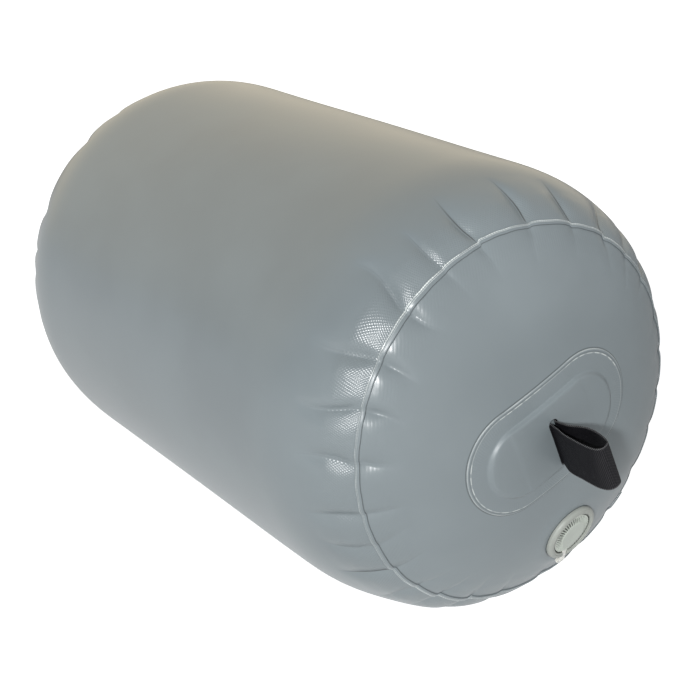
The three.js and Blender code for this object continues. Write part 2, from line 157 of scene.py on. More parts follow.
# Middle line of the standing loop as (U, height over the dome's middle) in millimetres, at its two
# selvedges, from the leg on the -U side, over the tip, to the leg on the +U side.
LOOP_TOP = np.array([
    (-3.2, 2.7), (-2.2, 5), (-2.6, 9), (-3.6, 16), (-5.4, 24), (-6.2, 34), (-6.6, 46), (-6.4, 57),
    (-5, 65.5), (-1, 69.8), (4, 70), (8, 67.4), (10.8, 58), (12, 48), (11.6, 39), (9.4, 31),
    (5.6, 22), (4, 14), (3.6, 8), (3.4, 5), (4.4, 2.7),
])
LOOP_LOW = np.array([
    (-3.2, 2.7), (-2.3, 5), (-4, 9), (-6.6, 16), (-7.6, 24), (-7.6, 34), (-8, 46), (-7.8, 56),
    (-5.6, 64.5), (-1, 68.6), (5, 68.8), (9.4, 66), (11, 57), (10.6, 46), (9.6, 36), (8.4, 27),
    (6.4, 19), (4.6, 12), (3.6, 8), (3.4, 5), (4.4, 2.7),
])

# The photograph's camera, in the frame of the part, for a square picture.
CAMERA_PLACE = (1.2936, -0.8667, 0.7827)
CAMERA_AIM = (-0.7658, 0.5344, -0.3578)
CAMERA_LENS = 77.094

# The one lamp, a small one beside the camera.
KEY_SIZE = 0.42
KEY_AZIMUTH = math.radians(-50)
KEY_ELEVATION = math.radians(19.5)
KEY_DISTANCE = 7
KEY_TARGET = (0.15, 0.0, 0.22)

# Direction of the warm, lighter side of the room that the skin mirrors.
WARM_SIDE = (-0.84, 0.225, 0.5)

# Direction from which the surroundings light the valve's end softly.
SOFT_SIDE = (0.5, 0.8, 0.33)

ENDS = (("front", 1, FRONT_GATHERS), ("rear", -1, REAR_GATHERS))


class FenderShape(bpy.types.PropertyGroup):
    """Sizes of the fine forms that the skin, the seams and the handles show."""

    crest_height: FloatProperty(
        name="Crest height", default=1.7 * MM, unit="LENGTH",
        description="How far the puffs between the gathers stand proud of the smooth form",
    )
    gentle_side: FloatProperty(
        name="Gentle side", default=2.7, description="Exponent of a puff on its side that rises slowly",
    )
    lip_side: FloatProperty(
        name="Lip side", default=4.2,
        description="Exponent of a puff on its side that ends in a rounded lip",
    )
    valley_round: FloatProperty(
        name="Valley rounding", default=2.6 * MM, unit="LENGTH",
        description="Distance from the bottom of a valley over which it is rounded",
    )
    slant: FloatProperty(
        name="Slant", default=math.radians(2.4), unit="ROTATION",
        description="How far a valley wanders round the fender on its way from the seam",
    )
    weld_body: FloatProperty(
        name="Weld on the body", default=38 * MM, unit="LENGTH",
        description="Width of the embossed weld zone on the body side of each round seam",
    )
    weld_disc: FloatProperty(
        name="Weld on the ends", default=33 * MM, unit="LENGTH",
        description="Width of the embossed weld zone on the end panels",
    )
    knurl_pitch: FloatProperty(
        name="Knurl pitch", default=2.3 * MM, unit="LENGTH",
        description="Spacing of the crossed lines that the welding tool leaves on the body",
    )
    thread_pitch: FloatProperty(
        name="Thread pitch", default=2.7 * MM, unit="LENGTH",
        description="Spacing of the parallel lines in the weld zone of the end panels",
    )
    band_half: FloatProperty(
        name="Seam band half width", default=2.1 * MM, unit="LENGTH",
        description="Half the width of the narrow strip over each round seam",
    )
    weave_pitch: FloatProperty(
        name="Webbing weave pitch", default=1.9 * MM, unit="LENGTH",
        description="Length of one repeat of the twill along the webbing",
    )


class FenderFinish(bpy.types.PropertyGroup):
    """Colours and gloss of the finishes."""

    cloth: FloatVectorProperty(
        name="Coated cloth", subtype="COLOR", size=3, default=(0.215, 0.25, 0.265),
        description="Colour of the PVC-coated cloth",
    )
    cut_edge: FloatVectorProperty(
        name="Cut edge", subtype="COLOR", size=3, default=(0.5, 0.53, 0.52),
        description="Colour of the cloth's pale core where it is cut",
    )
    webbing: FloatVectorProperty(
        name="Webbing", subtype="COLOR", size=3, default=(0.005, 0.0048, 0.0065),
        description="Colour of the woven straps",
    )
    valve: FloatVectorProperty(
        name="Valve", subtype="COLOR", size=3, default=(0.35, 0.37, 0.34),
        description="Colour of the moulded valve body",
    )
    cap: FloatVectorProperty(
        name="Cap", subtype="COLOR", size=3, default=(0.47, 0.51, 0.46),
        description="Colour of the screw cap",
    )
    tether: FloatVectorProperty(
        name="Tether", subtype="COLOR", size=3, default=(0.8, 0.8, 0.76),
        description="Colour of the soft strap that keeps the cap",
    )
    cloth_roughness: FloatProperty(
        name="Cloth roughness", default=0.3, subtype="FACTOR", description="Gloss of the satin skin",
    )


class FenderStage(bpy.types.PropertyGroup):
    """Lamp, surroundings and floor."""

    key_power: FloatProperty(
        name="Key lamp", default=414.0, unit="POWER",
        description="Power of the small lamp beside the camera",
    )
    fill: FloatProperty(
        name="Sky level", default=0.1, description="Level of the pale surroundings",
    )
    side_fill: FloatProperty(
        name="Side level", default=0.9, description="Level of the surroundings on the soft side",
    )
    floor_radius: FloatProperty(
        name="Floor radius", default=14.0, unit="LENGTH", description="Reach of the pale floor",
    )


def smooth_step(low, high, value):
    """0 below low, 1 above high, and 3 t^2 - 2 t^3 between them, where t is the share of the way."""
    t = np.clip((value - low) / (high - low), 0.0, 1.0)
    return t * t * (3 - 2 * t)


def unit(vectors):
    """Each vector divided by its own length."""
    return vectors / np.linalg.norm(vectors, axis=-1, keepdims=True)


def dome_x(r):
    """Reach of the smooth dome along X: cylinder's end plus depth times (1 - (r / radius)^n)^(1/n)."""
    share = np.clip(r / RADIUS, 0.0, 1.0) ** DOME_EXPONENT
    return STRAIGHT_HALF + DOME_DEPTH * (1.0 - share) ** (1.0 / DOME_EXPONENT)


def meridian(turn):
    """Smooth profile by an angle that is 0 where the cylinder ends and 90 at the dome's middle.

    x is the cylinder's end plus the depth times sin^(2/n), r is the radius times cos^(2/n), and the
    normal is the gradient of (x / depth)^n + (r / radius)^n. Returns x, r, normal along x and r.
    """
    angle = np.radians(turn)
    x = STRAIGHT_HALF + DOME_DEPTH * np.sin(angle) ** (2 / DOME_EXPONENT)
    r = np.where(turn >= 90, 0.0, RADIUS * np.clip(np.cos(angle), 0, 1) ** (2 / DOME_EXPONENT))
    along_x = ((x - STRAIGHT_HALF) / DOME_DEPTH) ** (DOME_EXPONENT - 1) / DOME_DEPTH
    along_r = (r / RADIUS) ** (DOME_EXPONENT - 1) / RADIUS
    length = np.hypot(along_x, along_r)
    return x, r, along_x / length, along_r / length


TURNS = np.linspace(0, 90, 2881)
MERIDIAN_X, MERIDIAN_R = meridian(TURNS)[:2]
WALKED = np.concatenate([[0], np.cumsum(np.hypot(np.diff(MERIDIAN_X), np.diff(MERIDIAN_R)))])
SEAM_TURN = math.degrees(math.acos((SEAM_RADIUS / RADIUS) ** (DOME_EXPONENT / 2)))
SEAM_WALKED = float(np.interp(SEAM_TURN, TURNS, WALKED))
DISC_LENGTH = float(WALKED[-1]) - SEAM_WALKED
SEAM_TO_MIDDLE = SEAM_WALKED + STRAIGHT_HALF


def profile(distance):
    """Smooth profile by the distance along it from the seam, positive on the body.

    Past the dome it runs on along the straight cylinder. Returns x, r, normal along x and r, and
    the straight distance from the seam, signed like the distance given.
    """
    walked = SEAM_WALKED - distance
    x, r, nx, nr = meridian(np.interp(walked, WALKED, TURNS))
    straight = walked < 0
    x = np.where(straight, STRAIGHT_HALF + walked, x)
    r = np.where(straight, RADIUS, r)
    nx = np.where(straight, 0.0, nx)
    nr = np.where(straight, 1.0, nr)
    away = np.hypot(x - dome_x(SEAM_RADIUS), r - SEAM_RADIUS)
    return x, r, nx, nr, np.where(distance > 0, away, -away)


def valley_place(angle, gathers):
    """Where an angle lies between two valleys.

    Returns the share of the way across, the depth, the degrees to the nearer valley, and how far the
    strip runs off the seam towards the body. A positive jump is reached as the square of the share just
    before its valley, and a negative one starts just after its valley and dies out in the same way.
    """
    valleys, depths, jumps = gathers[:, 0], gathers[:, 1] * MM, gathers[:, 2] * MM
    turn = np.mod(angle, 360)
    after = np.searchsorted(valleys, turn, side="right") % len(valleys)
    before = (after - 1) % len(valleys)
    width = np.mod(valleys[after] - valleys[before], 360)
    share = np.mod(turn - valleys[before], 360) / width
    depth = depths[before] + (depths[after] - depths[before]) * share
    off = np.clip(jumps[after], 0, None) * share**2 + np.clip(-jumps[before], 0, None) * (1 - share) ** 2
    off = off * smooth_step(0, 0.06, share) * smooth_step(0, 0.06, 1 - share)
    return share, depth, np.minimum(share, 1 - share) * width, off


def gather_fade(angle, from_seam, depth):
    """Strength of the gathers: (1 - (d / reach)^2)^1.5 away from the deepest row.

    On the end panels it also drops to a share that is a half, more by a bell curve low on the -Y
    side, and less by another over the top, where the cloth is pulled smooth.
    """
    on_body = REACH_BODY + REACH_PER_DEPTH * depth - DEEPEST_FROM_SEAM
    reach = np.where(from_seam > DEEPEST_FROM_SEAM, on_body, REACH_DISC + DEEPEST_FROM_SEAM)
    fade = np.clip(1 - ((from_seam - DEEPEST_FROM_SEAM) / reach) ** 2, 0, None) ** 1.5
    turn = np.mod(angle, 360)
    kept = 0.5 + 0.95 * np.exp(-(((turn - 164) / 30) ** 2)) - 0.26 * np.exp(-(((turn - 67) / 42) ** 2))
    return fade * (1 - (1 - kept) * smooth_step(-2 * MM, 14 * MM, -from_seam))


def gather_lift(angle, from_seam, gathers, shape):
    """Height of the gathers: lopsided puffs between cusped valleys.

    Between two valleys the puff is 1 - |2 s - 1|^p, with s the share of the way across. The exponent
    is low in the first half, which rises slowly, and high in the second, which ends in a rounded lip.
    The lift is crest * puff - depth * (1 - puff), times the fade, and held down at the seam by a bell
    curve. A parabola rounds the bottom of each valley.
    """
    share, depth, degrees, _ = valley_place(angle, gathers)
    lip = shape.lip_side * (1 + 0.3 * np.sin(np.radians(np.mod(angle, 360)) * 9.3 + 1.1))
    puff = 1 - np.abs(2 * share - 1) ** np.where(share < 0.5, shape.gentle_side, lip)
    hold_width = np.where(from_seam < 0, SEAM_HOLD_DISC, SEAM_HOLD_BODY)
    held = 1 - SEAM_HOLD * np.exp(-((from_seam / hold_width) ** 2))
    rounding = shape.valley_round
    near = np.clip(rounding - np.radians(degrees) * RADIUS, 0, None) ** 2 / (2 * rounding)
    lift = shape.crest_height * puff - depth * (1 - puff) + near * depth / (5 * MM)
    return gather_fade(angle, from_seam, depth) * held * lift


def crease_shade_layers(angle, from_seam, gathers):
    """Metres round the fender to the nearest valley, and the strength of the painted crease shade, 0 to
    1.

    The painted shade is strongest over the top, by a bell curve of the angle, and at one valley low
    on the -Y side.
    """
    _, depth, degrees, _ = valley_place(angle, gathers)
    turn = np.mod(angle, 360)
    over_top = 0.88 * np.exp(-(((turn - 84) / 36) ** 4))
    low_valley = 1.1 * np.exp(-(((turn - 219.5) / 5) ** 2))
    deep = np.clip(depth / (4 * MM), 0, 1)
    strength = gather_fade(angle, from_seam, depth) * deep * (0.12 + over_top + low_valley)
    return np.radians(degrees) * RADIUS, strength * smooth_step(1 * MM, 8 * MM, np.abs(from_seam))


def near_seam(distance, angle, gathers):
    """Profile at rows of distances, moved along by the jumps of the strip, by a bell of the distance.

    The last value is the straight distance from the seam, as if nothing had been moved.
    """
    off = valley_place(angle, gathers)[3] * np.exp(-((distance / JUMP_REACH) ** 2))
    return (*profile(distance + off)[:4], profile(distance)[4])


def wander(angle, from_seam, shape):
    """Degrees by which the cloth is turned round the axis: two sines of the angle, grown with distance.

    The growth is a smooth step over the gathers' reach and falls back beyond them. A sine of the
    distance times a sine of the angle curls the valleys a little.
    """
    a = np.radians(angle)
    away = np.abs(from_seam)
    grown = smooth_step(0, 55 * MM, away) * (1 - smooth_step(60 * MM, 130 * MM, away))
    near = smooth_step(0, 20 * MM, away) * (1 - smooth_step(50 * MM, 90 * MM, away))
    curl = np.sin(from_seam / (19 * MM)) * near
    swing = np.sin(4.7 * a + 0.6) + 0.7 * np.sin(9.1 * a + 2.0)
    return np.degrees(shape.slant) * (grown * swing + 0.35 * curl * np.sin(7.3 * a))


def lap_lift(angle):
    """One sheet's thickness more where the body sheet laps over itself, with a ramp at one edge."""
    before = LAP_EDGE - angle
    lift = SHEET * np.clip((LAP_WIDTH - before) / LAP_RAMP, 0, 1)
    return np.where((before < -LAP_STEP / 2) | (before > LAP_WIDTH), 0.0, lift)


def slow_waves(angle, x):
    """Sum of four slow sines over the cylinder, for the uneven way in which filled cloth bulges."""
    a = np.radians(angle)
    return 0.25 * MM * (
        np.sin(3 * a + 9 * x + 0.7) + np.sin(5 * a - 14 * x + 2.1)
        + 0.7 * np.sin(8 * a + 21 * x + 4.0) + 0.5 * np.sin(11 * a - 6 * x + 5.2)
    )


def flat_spot(angle, distance):
    """Depth of the flatter cloth: a bell of the angle times a bell of the distance from the seam."""
    aside = (angle - FLAT_ANGLE) / FLAT_HALF_ANGLE
    along = (distance - FLAT_DISTANCE) / FLAT_HALF_WIDTH
    return FLAT_DEPTH * np.exp(-(aside**2) - along**2)


def skin_points(x, r, nx, nr, angle, raised, floor_lift=0.0, clamp=True):
    """Points at an angle round the axis, moved along the normal by raised, and kept off the floor."""
    radial = r + nr * raised
    z = AXIS_HEIGHT + radial * np.sin(np.radians(angle))
    if clamp:
        z = np.maximum(z, floor_lift)
    return np.stack([x + nx * raised, radial * np.cos(np.radians(angle)), z], axis=-1)


def gather_columns(per_gather=22):
    """Column angles at the front and the rear, paired so that each front valley meets a rear one.

    The valleys and the edges of the lap are knots. Between two knots the share t of the way becomes
    t - 0.55 sin(2 pi t) / (2 pi), so that the columns stand closer together at the knots.
    """
    front = sorted([*FRONT_GATHERS[:, 0], *LAP_KNOTS])
    rear = sorted([*REAR_GATHERS[:, 0], *LAP_KNOTS])
    counts = [
        max(2, round(per_gather * ((b - a) % 360) / 14)) for a, b in zip(front, [*front[1:], front[0]])
    ]
    starts = np.concatenate([[0], np.cumsum(counts)])
    steps = np.arange(starts[-1])
    place = np.interp(steps, starts, np.arange(len(starts)))
    place -= 0.55 * np.sin(2 * math.pi * place) / (2 * math.pi)
    knots = np.arange(len(starts))
    return [np.interp(place, knots, [*angles, angles[0] + 360]) for angles in (front, rear)]


def graded(stops):
    """Distances with a step that changes from stop to stop: stops are (distance, step there)."""
    made = [stops[0][0]]
    for (low, step), (high, next_step) in zip(stops, stops[1:]):
        count = max(1, round((high - low) / ((step + next_step) / 2)))
        t = np.arange(1, count + 1) / count
        ease = t * step + t * t * (next_step - step) / 2
        made.extend(low + (high - low) * ease / ease[-1])
    return np.array(made)


def piece_from_grid(name, grid, uv, body, replaced, closed_rows=True, layers=()):
    """Mesh object of a grid of points, with quads between neighbours and a UV map named cloth.

    grid is rows x columns x 3, and its columns close on themselves. uv has one more column, and one
    more row where the rows close too. Rows of no width become poles, and the faces are turned
    outwards by the sign of the volume. layers are pairs of a name and a number for each point.
    """
    rows, columns = grid.shape[:2]
    row_count = rows if closed_rows else rows - 1
    i, j = np.meshgrid(np.arange(row_count), np.arange(columns), indexing="ij")
    corners = np.stack([(i, j), (i + 1, j), (i + 1, j + 1), (i, j + 1)]).reshape(4, 2, -1)
    index = ((corners[:, 0] % rows) * columns + corners[:, 1] % columns).T
    flat = grid.reshape(-1, 3)
    a, b, c, d = (flat[index[:, k]] for k in range(4))
    volume = np.sum(a * np.cross(b, c)) + np.sum(a * np.cross(c, d))
    order = [0, 1, 2, 3] if volume > 0 else [3, 2, 1, 0]
    mesh = bpy.data.meshes.new(name)
    mesh.from_pydata(flat, [], index[:, order].tolist())
    layer = mesh.uv_layers.new(name="cloth")
    loops = uv[corners[order, 0], corners[order, 1]].transpose(1, 0, 2)
    layer.data.foreach_set("uv", loops.astype(np.float32).ravel())
    for title, values in layers:
        numbers = mesh.attributes.new(title, "FLOAT", "POINT").data
        numbers.foreach_set("value", values.astype(np.float32).ravel())
    return finished_piece(name, mesh, body, replaced)


def finished_piece(name, mesh, body, replaced):
    """Object of a mesh: doubles merged, smooth but for sharp edges, riding on a body if one is given."""
    form = bmesh.new()
    form.from_mesh(mesh)
    bmesh.ops.remove_doubles(form, verts=form.verts, dist=1e-7)
    form.to_mesh(mesh)
    form.free()
    mesh.shade_smooth()
    mesh.set_sharp_from_angle(angle=SHARP_ANGLE)
    piece = bpy.data.objects.new(name, mesh)
    bpy.context.scene.collection.objects.link(piece)
    if body:
        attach(piece, body)
    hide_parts(*replaced)
    return piece


def closed_uv(u, v, wrap):
    """UV grid of two arrays, closed by repeating the first row or column with wrap added to u."""
    u = np.concatenate([u, u[:, :1] + wrap], axis=1)
    v = np.concatenate([v, v[:, :1]], axis=1)
    return np.stack([np.concatenate([u, u[:1]]), np.concatenate([v, v[:1]])], axis=-1)


def valve_frame():
    """Matrix of the valve: its origin on the dome, X away from the fender's axis and Z outwards."""
    step = 0.5 * MM
    rise = float(dome_x(VALVE_RADIUS + step) - dome_x(VALVE_RADIUS - step))
    tilt = math.atan2(-rise, 2 * step)
    radial = Vector((0, math.cos(VALVE_ANGLE), math.sin(VALVE_ANGLE)))
    out = radial * math.sin(tilt) + Vector((math.cos(tilt), 0, 0))
    away = radial * math.cos(tilt) - Vector((math.sin(tilt), 0, 0))
    place = radial * VALVE_RADIUS + Vector((float(dome_x(VALVE_RADIUS)), 0, AXIS_HEIGHT))
    made = Matrix((away, out.cross(away), out)).transposed().to_4x4()
    made.translation = place
    return made


VALVE = valve_frame()


def placed(points, matrix=VALVE):
    """Points moved from the valve's own frame into the part's."""
    m = np.array(matrix)
    return points @ m[:3, :3].T + m[:3, 3]


def seat_valve(points, under):
    """Cloth pressed flat under the valve's flange: its height there goes to under, by a smooth step."""
    m = np.array(VALVE)
    local = (points - m[:3, 3]) @ m[:3, :3]
    away = np.hypot(local[..., 0], local[..., 1])
    pressed = 1 - smooth_step(RIM_RADIUS + 1 * MM, RIM_RADIUS + 16 * MM, away)
    near = pressed * (np.abs(local[..., 2]) < 40 * MM)
    local[..., 2] += near * (under - local[..., 2])
    return placed(local)


def material_nodes(name):
    """New material with an empty tree, its Principled shader and output linked."""
    material = bpy.data.materials.new(name)
    material.use_nodes = True
    tree = material.node_tree
    tree.nodes.clear()
    shader = tree.nodes.new("ShaderNodeBsdfPrincipled")
    output = tree.nodes.new("ShaderNodeOutputMaterial")
    tree.links.new(shader.outputs[0], output.inputs[0])
    return material, tree, shader


def connect(tree, socket, value):
    """Links a socket to another, or sets it to a number."""
    if isinstance(value, bpy.types.NodeSocket):
        tree.links.new(value, socket)
    else:
        socket.default_value = value


def calc(tree, operation, *values):
    """Output of a Math node."""
    node = tree.nodes.new("ShaderNodeMath")
    node.operation = operation
    for socket, value in zip(node.inputs, values):
        connect(tree, socket, value)
    return node.outputs[0]


def ramped(tree, value, low, high, start=0.0, end=1.0):
    """Smooth step of a value between low and high, from start to end."""
    node = tree.nodes.new("ShaderNodeMapRange")
    node.interpolation_type = "SMOOTHSTEP"
    for socket, given in zip(node.inputs, (value, low, high, start, end)):
        connect(tree, socket, given)
    return node.outputs[0]


def product(tree, first, second):
    """Product of two numbers or sockets."""
    return calc(tree, "MULTIPLY", first, second)


def vector_calc(tree, operation, first, second):
    """Number from a Vector Math node that has one, or else its vector."""
    node = tree.nodes.new("ShaderNodeVectorMath")
    node.operation = operation
    tree.links.new(first, node.inputs[0])
    if second is not None:
        node.inputs[1].default_value = second
    return node.outputs["Value" if operation in ("DOT_PRODUCT", "LENGTH") else "Vector"]


def noise(tree, scale, detail=2.0):
    """Noise from 0 to 1 on Object coordinates, in cycles a metre."""
    node = tree.nodes.new("ShaderNodeTexNoise")
    tree.links.new(tree.nodes.new("ShaderNodeTexCoord").outputs["Object"], node.inputs["Vector"])
    node.inputs["Scale"].default_value = scale
    node.inputs["Detail"].default_value = detail
    return node.outputs[0]


def uv_axes(tree):
    """U and V of the map named cloth, in metres."""
    node = tree.nodes.new("ShaderNodeUVMap")
    node.uv_map = "cloth"
    split = tree.nodes.new("ShaderNodeSeparateXYZ")
    tree.links.new(node.outputs[0], split.inputs[0])
    return split.outputs[0], split.outputs[1]


def layer_value(tree, name):
    """Number that the mesh carries in a layer."""
    node = tree.nodes.new("ShaderNodeAttribute")
    node.attribute_name = name
    return node.outputs["Fac"]


def valve_axes(tree):
    """Distance from the valve's axis, and height over its seat, in metres."""
    here = tree.nodes.new("ShaderNodeTexCoord").outputs["Object"]
    place = vector_calc(tree, "SUBTRACT", here, VALVE.translation)
    axis = VALVE.col[2][:3]
    aside = vector_calc(tree, "LENGTH", vector_calc(tree, "CROSS_PRODUCT", place, axis), None)
    return aside, vector_calc(tree, "DOT_PRODUCT", place, axis)


def thin_line(tree, value, middle, half):
    """1 within half of the middle, falling to 0 at 1.8 times that."""
    away = calc(tree, "ABSOLUTE", calc(tree, "SUBTRACT", value, middle))
    return calc(tree, "SUBTRACT", 1.0, ramped(tree, away, half, 1.8 * half))


def crease_shaded(tree, colour, finish, strength):
    """Cloth darkened by painted shade along the bottom of the folds."""
    line = thin_line(tree, layer_value(tree, "valley"), 0.0, 0.5 * MM)
    weight = product(tree, line, product(tree, layer_value(tree, "fold"), strength))
    return tinted(tree, colour, weight, shade(finish.cloth, 0.22))


def object_axes(tree):
    """X, Y and Z of Object coordinates."""
    split = tree.nodes.new("ShaderNodeSeparateXYZ")
    tree.links.new(tree.nodes.new("ShaderNodeTexCoord").outputs["Object"], split.inputs[0])
    return split.outputs


def patch_axes(tree):
    """Place along and across the handle patches, from the fender's axis, in metres."""
    _, y, z = object_axes(tree)
    up = calc(tree, "SUBTRACT", z, AXIS_HEIGHT)
    cos, sin = math.cos(PATCH_TURN), math.sin(PATCH_TURN)
    along = calc(tree, "MULTIPLY_ADD", y, cos, product(tree, up, sin))
    across = calc(tree, "MULTIPLY_ADD", y, -sin, product(tree, up, cos))
    return along, across


def hypotenuse(tree, a, b):
    """Square root of a^2 + b^2."""
    return calc(tree, "SQRT", calc(tree, "ADD", calc(tree, "POWER", a, 2.0), calc(tree, "POWER", b, 2.0)))


def tinted(tree, base, factor, other):
    """Colour mixed from a base towards another by a factor."""
    node = tree.nodes.new("ShaderNodeMix")
    node.data_type = "RGBA"
    connect(tree, node.inputs[0], factor)
    for socket, colour in ((node.inputs[6], base), (node.inputs[7], other)):
        connect(tree, socket, colour if isinstance(colour, bpy.types.NodeSocket) else (*colour, 1.0))
    return node.outputs[2]


def bumped(tree, shader, height):
    """Bump from a height in metres."""
    node = tree.nodes.new("ShaderNodeBump")
    node.inputs["Strength"].default_value = 1.0
    node.inputs["Distance"].default_value = 1.0
    tree.links.new(height, node.inputs["Height"])
    tree.links.new(node.outputs[0], shader.inputs["Normal"])


def shade(colour, factor):
    """A colour with each channel multiplied by a factor."""
    return tuple(min(1.0, c * factor) for c in colour)


def grooved(tree, phase):
    """|sin(pi * phase)|: 0 at each whole number and 1 between them."""
    return calc(tree, "ABSOLUTE", calc(tree, "SINE", product(tree, phase, math.pi)))


def knurl(tree, u, v, pitch):
    """Crossed grooves at plus and minus 38 degrees: the product of two groove profiles."""
    turn = math.radians(38)
    across = product(tree, u, math.cos(turn) / pitch)
    along = product(tree, v, math.sin(turn) / pitch)
    first = grooved(tree, calc(tree, "ADD", across, along))
    second = grooved(tree, calc(tree, "SUBTRACT", across, along))
    return product(tree, first, second)


def cloth_base(tree, shader, finish, duller=0.0):
    """Satin coating: faint clouds in its colour and gloss, and a fine grain.

    Returns the colour and the grain's height.
    """
    clouds = noise(tree, 7.0, detail=3.0)
    specks = noise(tree, 160.0, detail=1.0)
    tone = ramped(tree, clouds, 0.3, 0.7)
    colour = tinted(tree, shade(finish.cloth, 0.95), tone, shade(finish.cloth, 1.05))
    gloss = calc(tree, "MULTIPLY_ADD", clouds, 0.1, finish.cloth_roughness + duller - 0.05)
    connect(tree, shader.inputs["Roughness"], gloss)
    grain = product(tree, noise(tree, 900.0, detail=2.0), 0.012 * MM)
    return colour, calc(tree, "MULTIPLY_ADD", specks, 0.02 * MM, grain)


def body_cloth(shape, finish):
    """Coated cloth of the body, with a knurled weld zone beside each seam."""
    material, tree, shader = material_nodes("body_cloth")
    u, v = uv_axes(tree)
    colour, height = cloth_base(tree, shader, finish)
    edge = calc(tree, "MULTIPLY_ADD", noise(tree, 30.0), 14 * MM, shape.weld_body - 7 * MM)
    zone = calc(tree, "SUBTRACT", 1.0, ramped(tree, v, calc(tree, "SUBTRACT", edge, 9 * MM), edge))
    pattern = knurl(tree, u, v, shape.knurl_pitch)
    height = calc(tree, "MULTIPLY_ADD", product(tree, pattern, zone), 0.13 * MM, height)
    height = crumpled(tree, height, zone, 0.5 * MM, 0.06 * MM)
    # Painted shade along the bottoms of the folds.
    connect(tree, shader.inputs["Base Color"], crease_shaded(tree, colour, finish, 0.9))
    bumped(tree, shader, height)
    return material


def crumpled(tree, height, zone, most, least):
    """Height with soft crumples added: most of them in the weld zone, and least elsewhere."""
    size = calc(tree, "MULTIPLY_ADD", zone, most, least)
    return calc(tree, "ADD", height, product(tree, noise(tree, 55.0), size))


def end_cloth(shape, finish):
    """Coated cloth of the end panels: the base threads show as parallel lines beside the seam.

    A thin line of painted shade lies round the valve's flange and round the handle patch, where
    they meet the cloth.
    """
    material, tree, shader = material_nodes("end_cloth")
    _, v = uv_axes(tree)
    colour, height = cloth_base(tree, shader, finish)
    _, y, z = object_axes(tree)
    turn = math.radians(78)
    across = product(tree, y, math.sin(turn) / shape.thread_pitch)
    phase = calc(tree, "MULTIPLY_ADD", z, -math.cos(turn) / shape.thread_pitch, across)
    edge = calc(tree, "MULTIPLY_ADD", noise(tree, 30.0), 12 * MM, shape.weld_disc - 6 * MM)
    distance = product(tree, v, -1.0)
    inner = calc(tree, "SUBTRACT", edge, 12 * MM)
    zone = calc(tree, "SUBTRACT", 1.0, ramped(tree, distance, inner, edge))
    lines = product(tree, grooved(tree, phase), zone)
    height = calc(tree, "MULTIPLY_ADD", lines, 0.04 * MM, height)
    height = crumpled(tree, height, zone, 0.35 * MM, 0.05 * MM)
    # Painted shade: a thin line round the valve's flange and round the handle patch's edge.
    from_valve, on_valve = valve_axes(tree)
    beyond = ramped(tree, from_valve, RIM_RADIUS + 0.4 * MM, RIM_RADIUS + 1.6 * MM)
    flange_shade = calc(tree, "SUBTRACT", 1.0, beyond)
    flange_shade = product(tree, flange_shade, ramped(tree, on_valve, -60 * MM, -40 * MM))
    along, across = patch_axes(tree)
    along = calc(tree, "ABSOLUTE", calc(tree, "ADD", along, 1 * MM))
    past = calc(tree, "MAXIMUM", calc(tree, "SUBTRACT", along, PATCH_STRAIGHT), 0.0)
    patch_edge_shade = product(tree, thin_line(tree, hypotenuse(tree, past, across), PATCH_END, 0.45 * MM), 0.45)
    painted_shade = calc(tree, "MAXIMUM", product(tree, flange_shade, 0.7), patch_edge_shade)
    colour = tinted(tree, colour, painted_shade, shade(finish.cloth, 0.25))
    # Painted shade along the bottoms of the folds.
    connect(tree, shader.inputs["Base Color"], crease_shaded(tree, colour, finish, 0.35))
    bumped(tree, shader, height)
    return material


def band_cloth(shape, finish):
    """Strip over the round seam: cloth with a pale cut edge on its body side and painted shade opposite.

    The pale edge is dotted, and whiter over the top and underneath than at the sides.
    """
    material, tree, shader = material_nodes("band_cloth")
    u, v = uv_axes(tree)
    colour, height = cloth_base(tree, shader, finish)
    z = object_axes(tree)[2]
    top = ramped(tree, z, AXIS_HEIGHT + 90 * MM, AXIS_HEIGHT + 150 * MM, 0.35, 1.0)
    underneath = ramped(tree, z, AXIS_HEIGHT - 130 * MM, AXIS_HEIGHT - 95 * MM, 1.0, 0.0)
    white = calc(tree, "MAXIMUM", top, underneath)
    drift = calc(tree, "MULTIPLY_ADD", noise(tree, 60.0), 2.0, calc(tree, "DIVIDE", u, 2.6 * MM))
    dots = ramped(tree, grooved(tree, drift), 0.2, 0.6, 0.45, 1.0)
    for place, half, scale, share in ((0.35, 0.35, 60.0, 1.0), (1.6, 0.2, 38.0, 0.4)):
        pale = thin_line(tree, v, shape.band_half - place * MM, half * MM)
        patchy = ramped(tree, noise(tree, scale, detail=3.0), 0.4, 0.55, 0.45, share)
        edge = product(tree, pale, product(tree, product(tree, patchy, dots), white))
        colour = tinted(tree, colour, edge, shade(finish.cut_edge, 1.7))
    # Painted shade: a thin line along the strip's disc side, where it steps down to the end panel.
    foot = ramped(tree, v, -shape.band_half - 0.05 * MM, -shape.band_half + 0.2 * MM, 0.62, 0.0)
    colour = tinted(tree, colour, foot, shade(finish.cloth, 0.22))
    connect(tree, shader.inputs["Base Color"], colour)
    bumped(tree, shader, height)
    return material


def plain_finish(name, colour, roughness, metallic=0.0, grain_scale=600.0, variation=0.06):
    """Moulded or rubbery finish: fine grain and slight clouds in the colour."""
    material, tree, shader = material_nodes(name)
    clouds = ramped(tree, noise(tree, 40.0, detail=3.0), 0.3, 0.7)
    mixed = tinted(tree, shade(colour, 1 - variation), clouds, shade(colour, 1 + variation))
    connect(tree, shader.inputs["Base Color"], mixed)
    connect(tree, shader.inputs["Roughness"], calc(tree, "MULTIPLY_ADD", clouds, 0.08, roughness - 0.04))
    shader.inputs["Metallic"].default_value = metallic
    bumped(tree, shader, product(tree, noise(tree, grain_scale), 0.01 * MM))
    return material


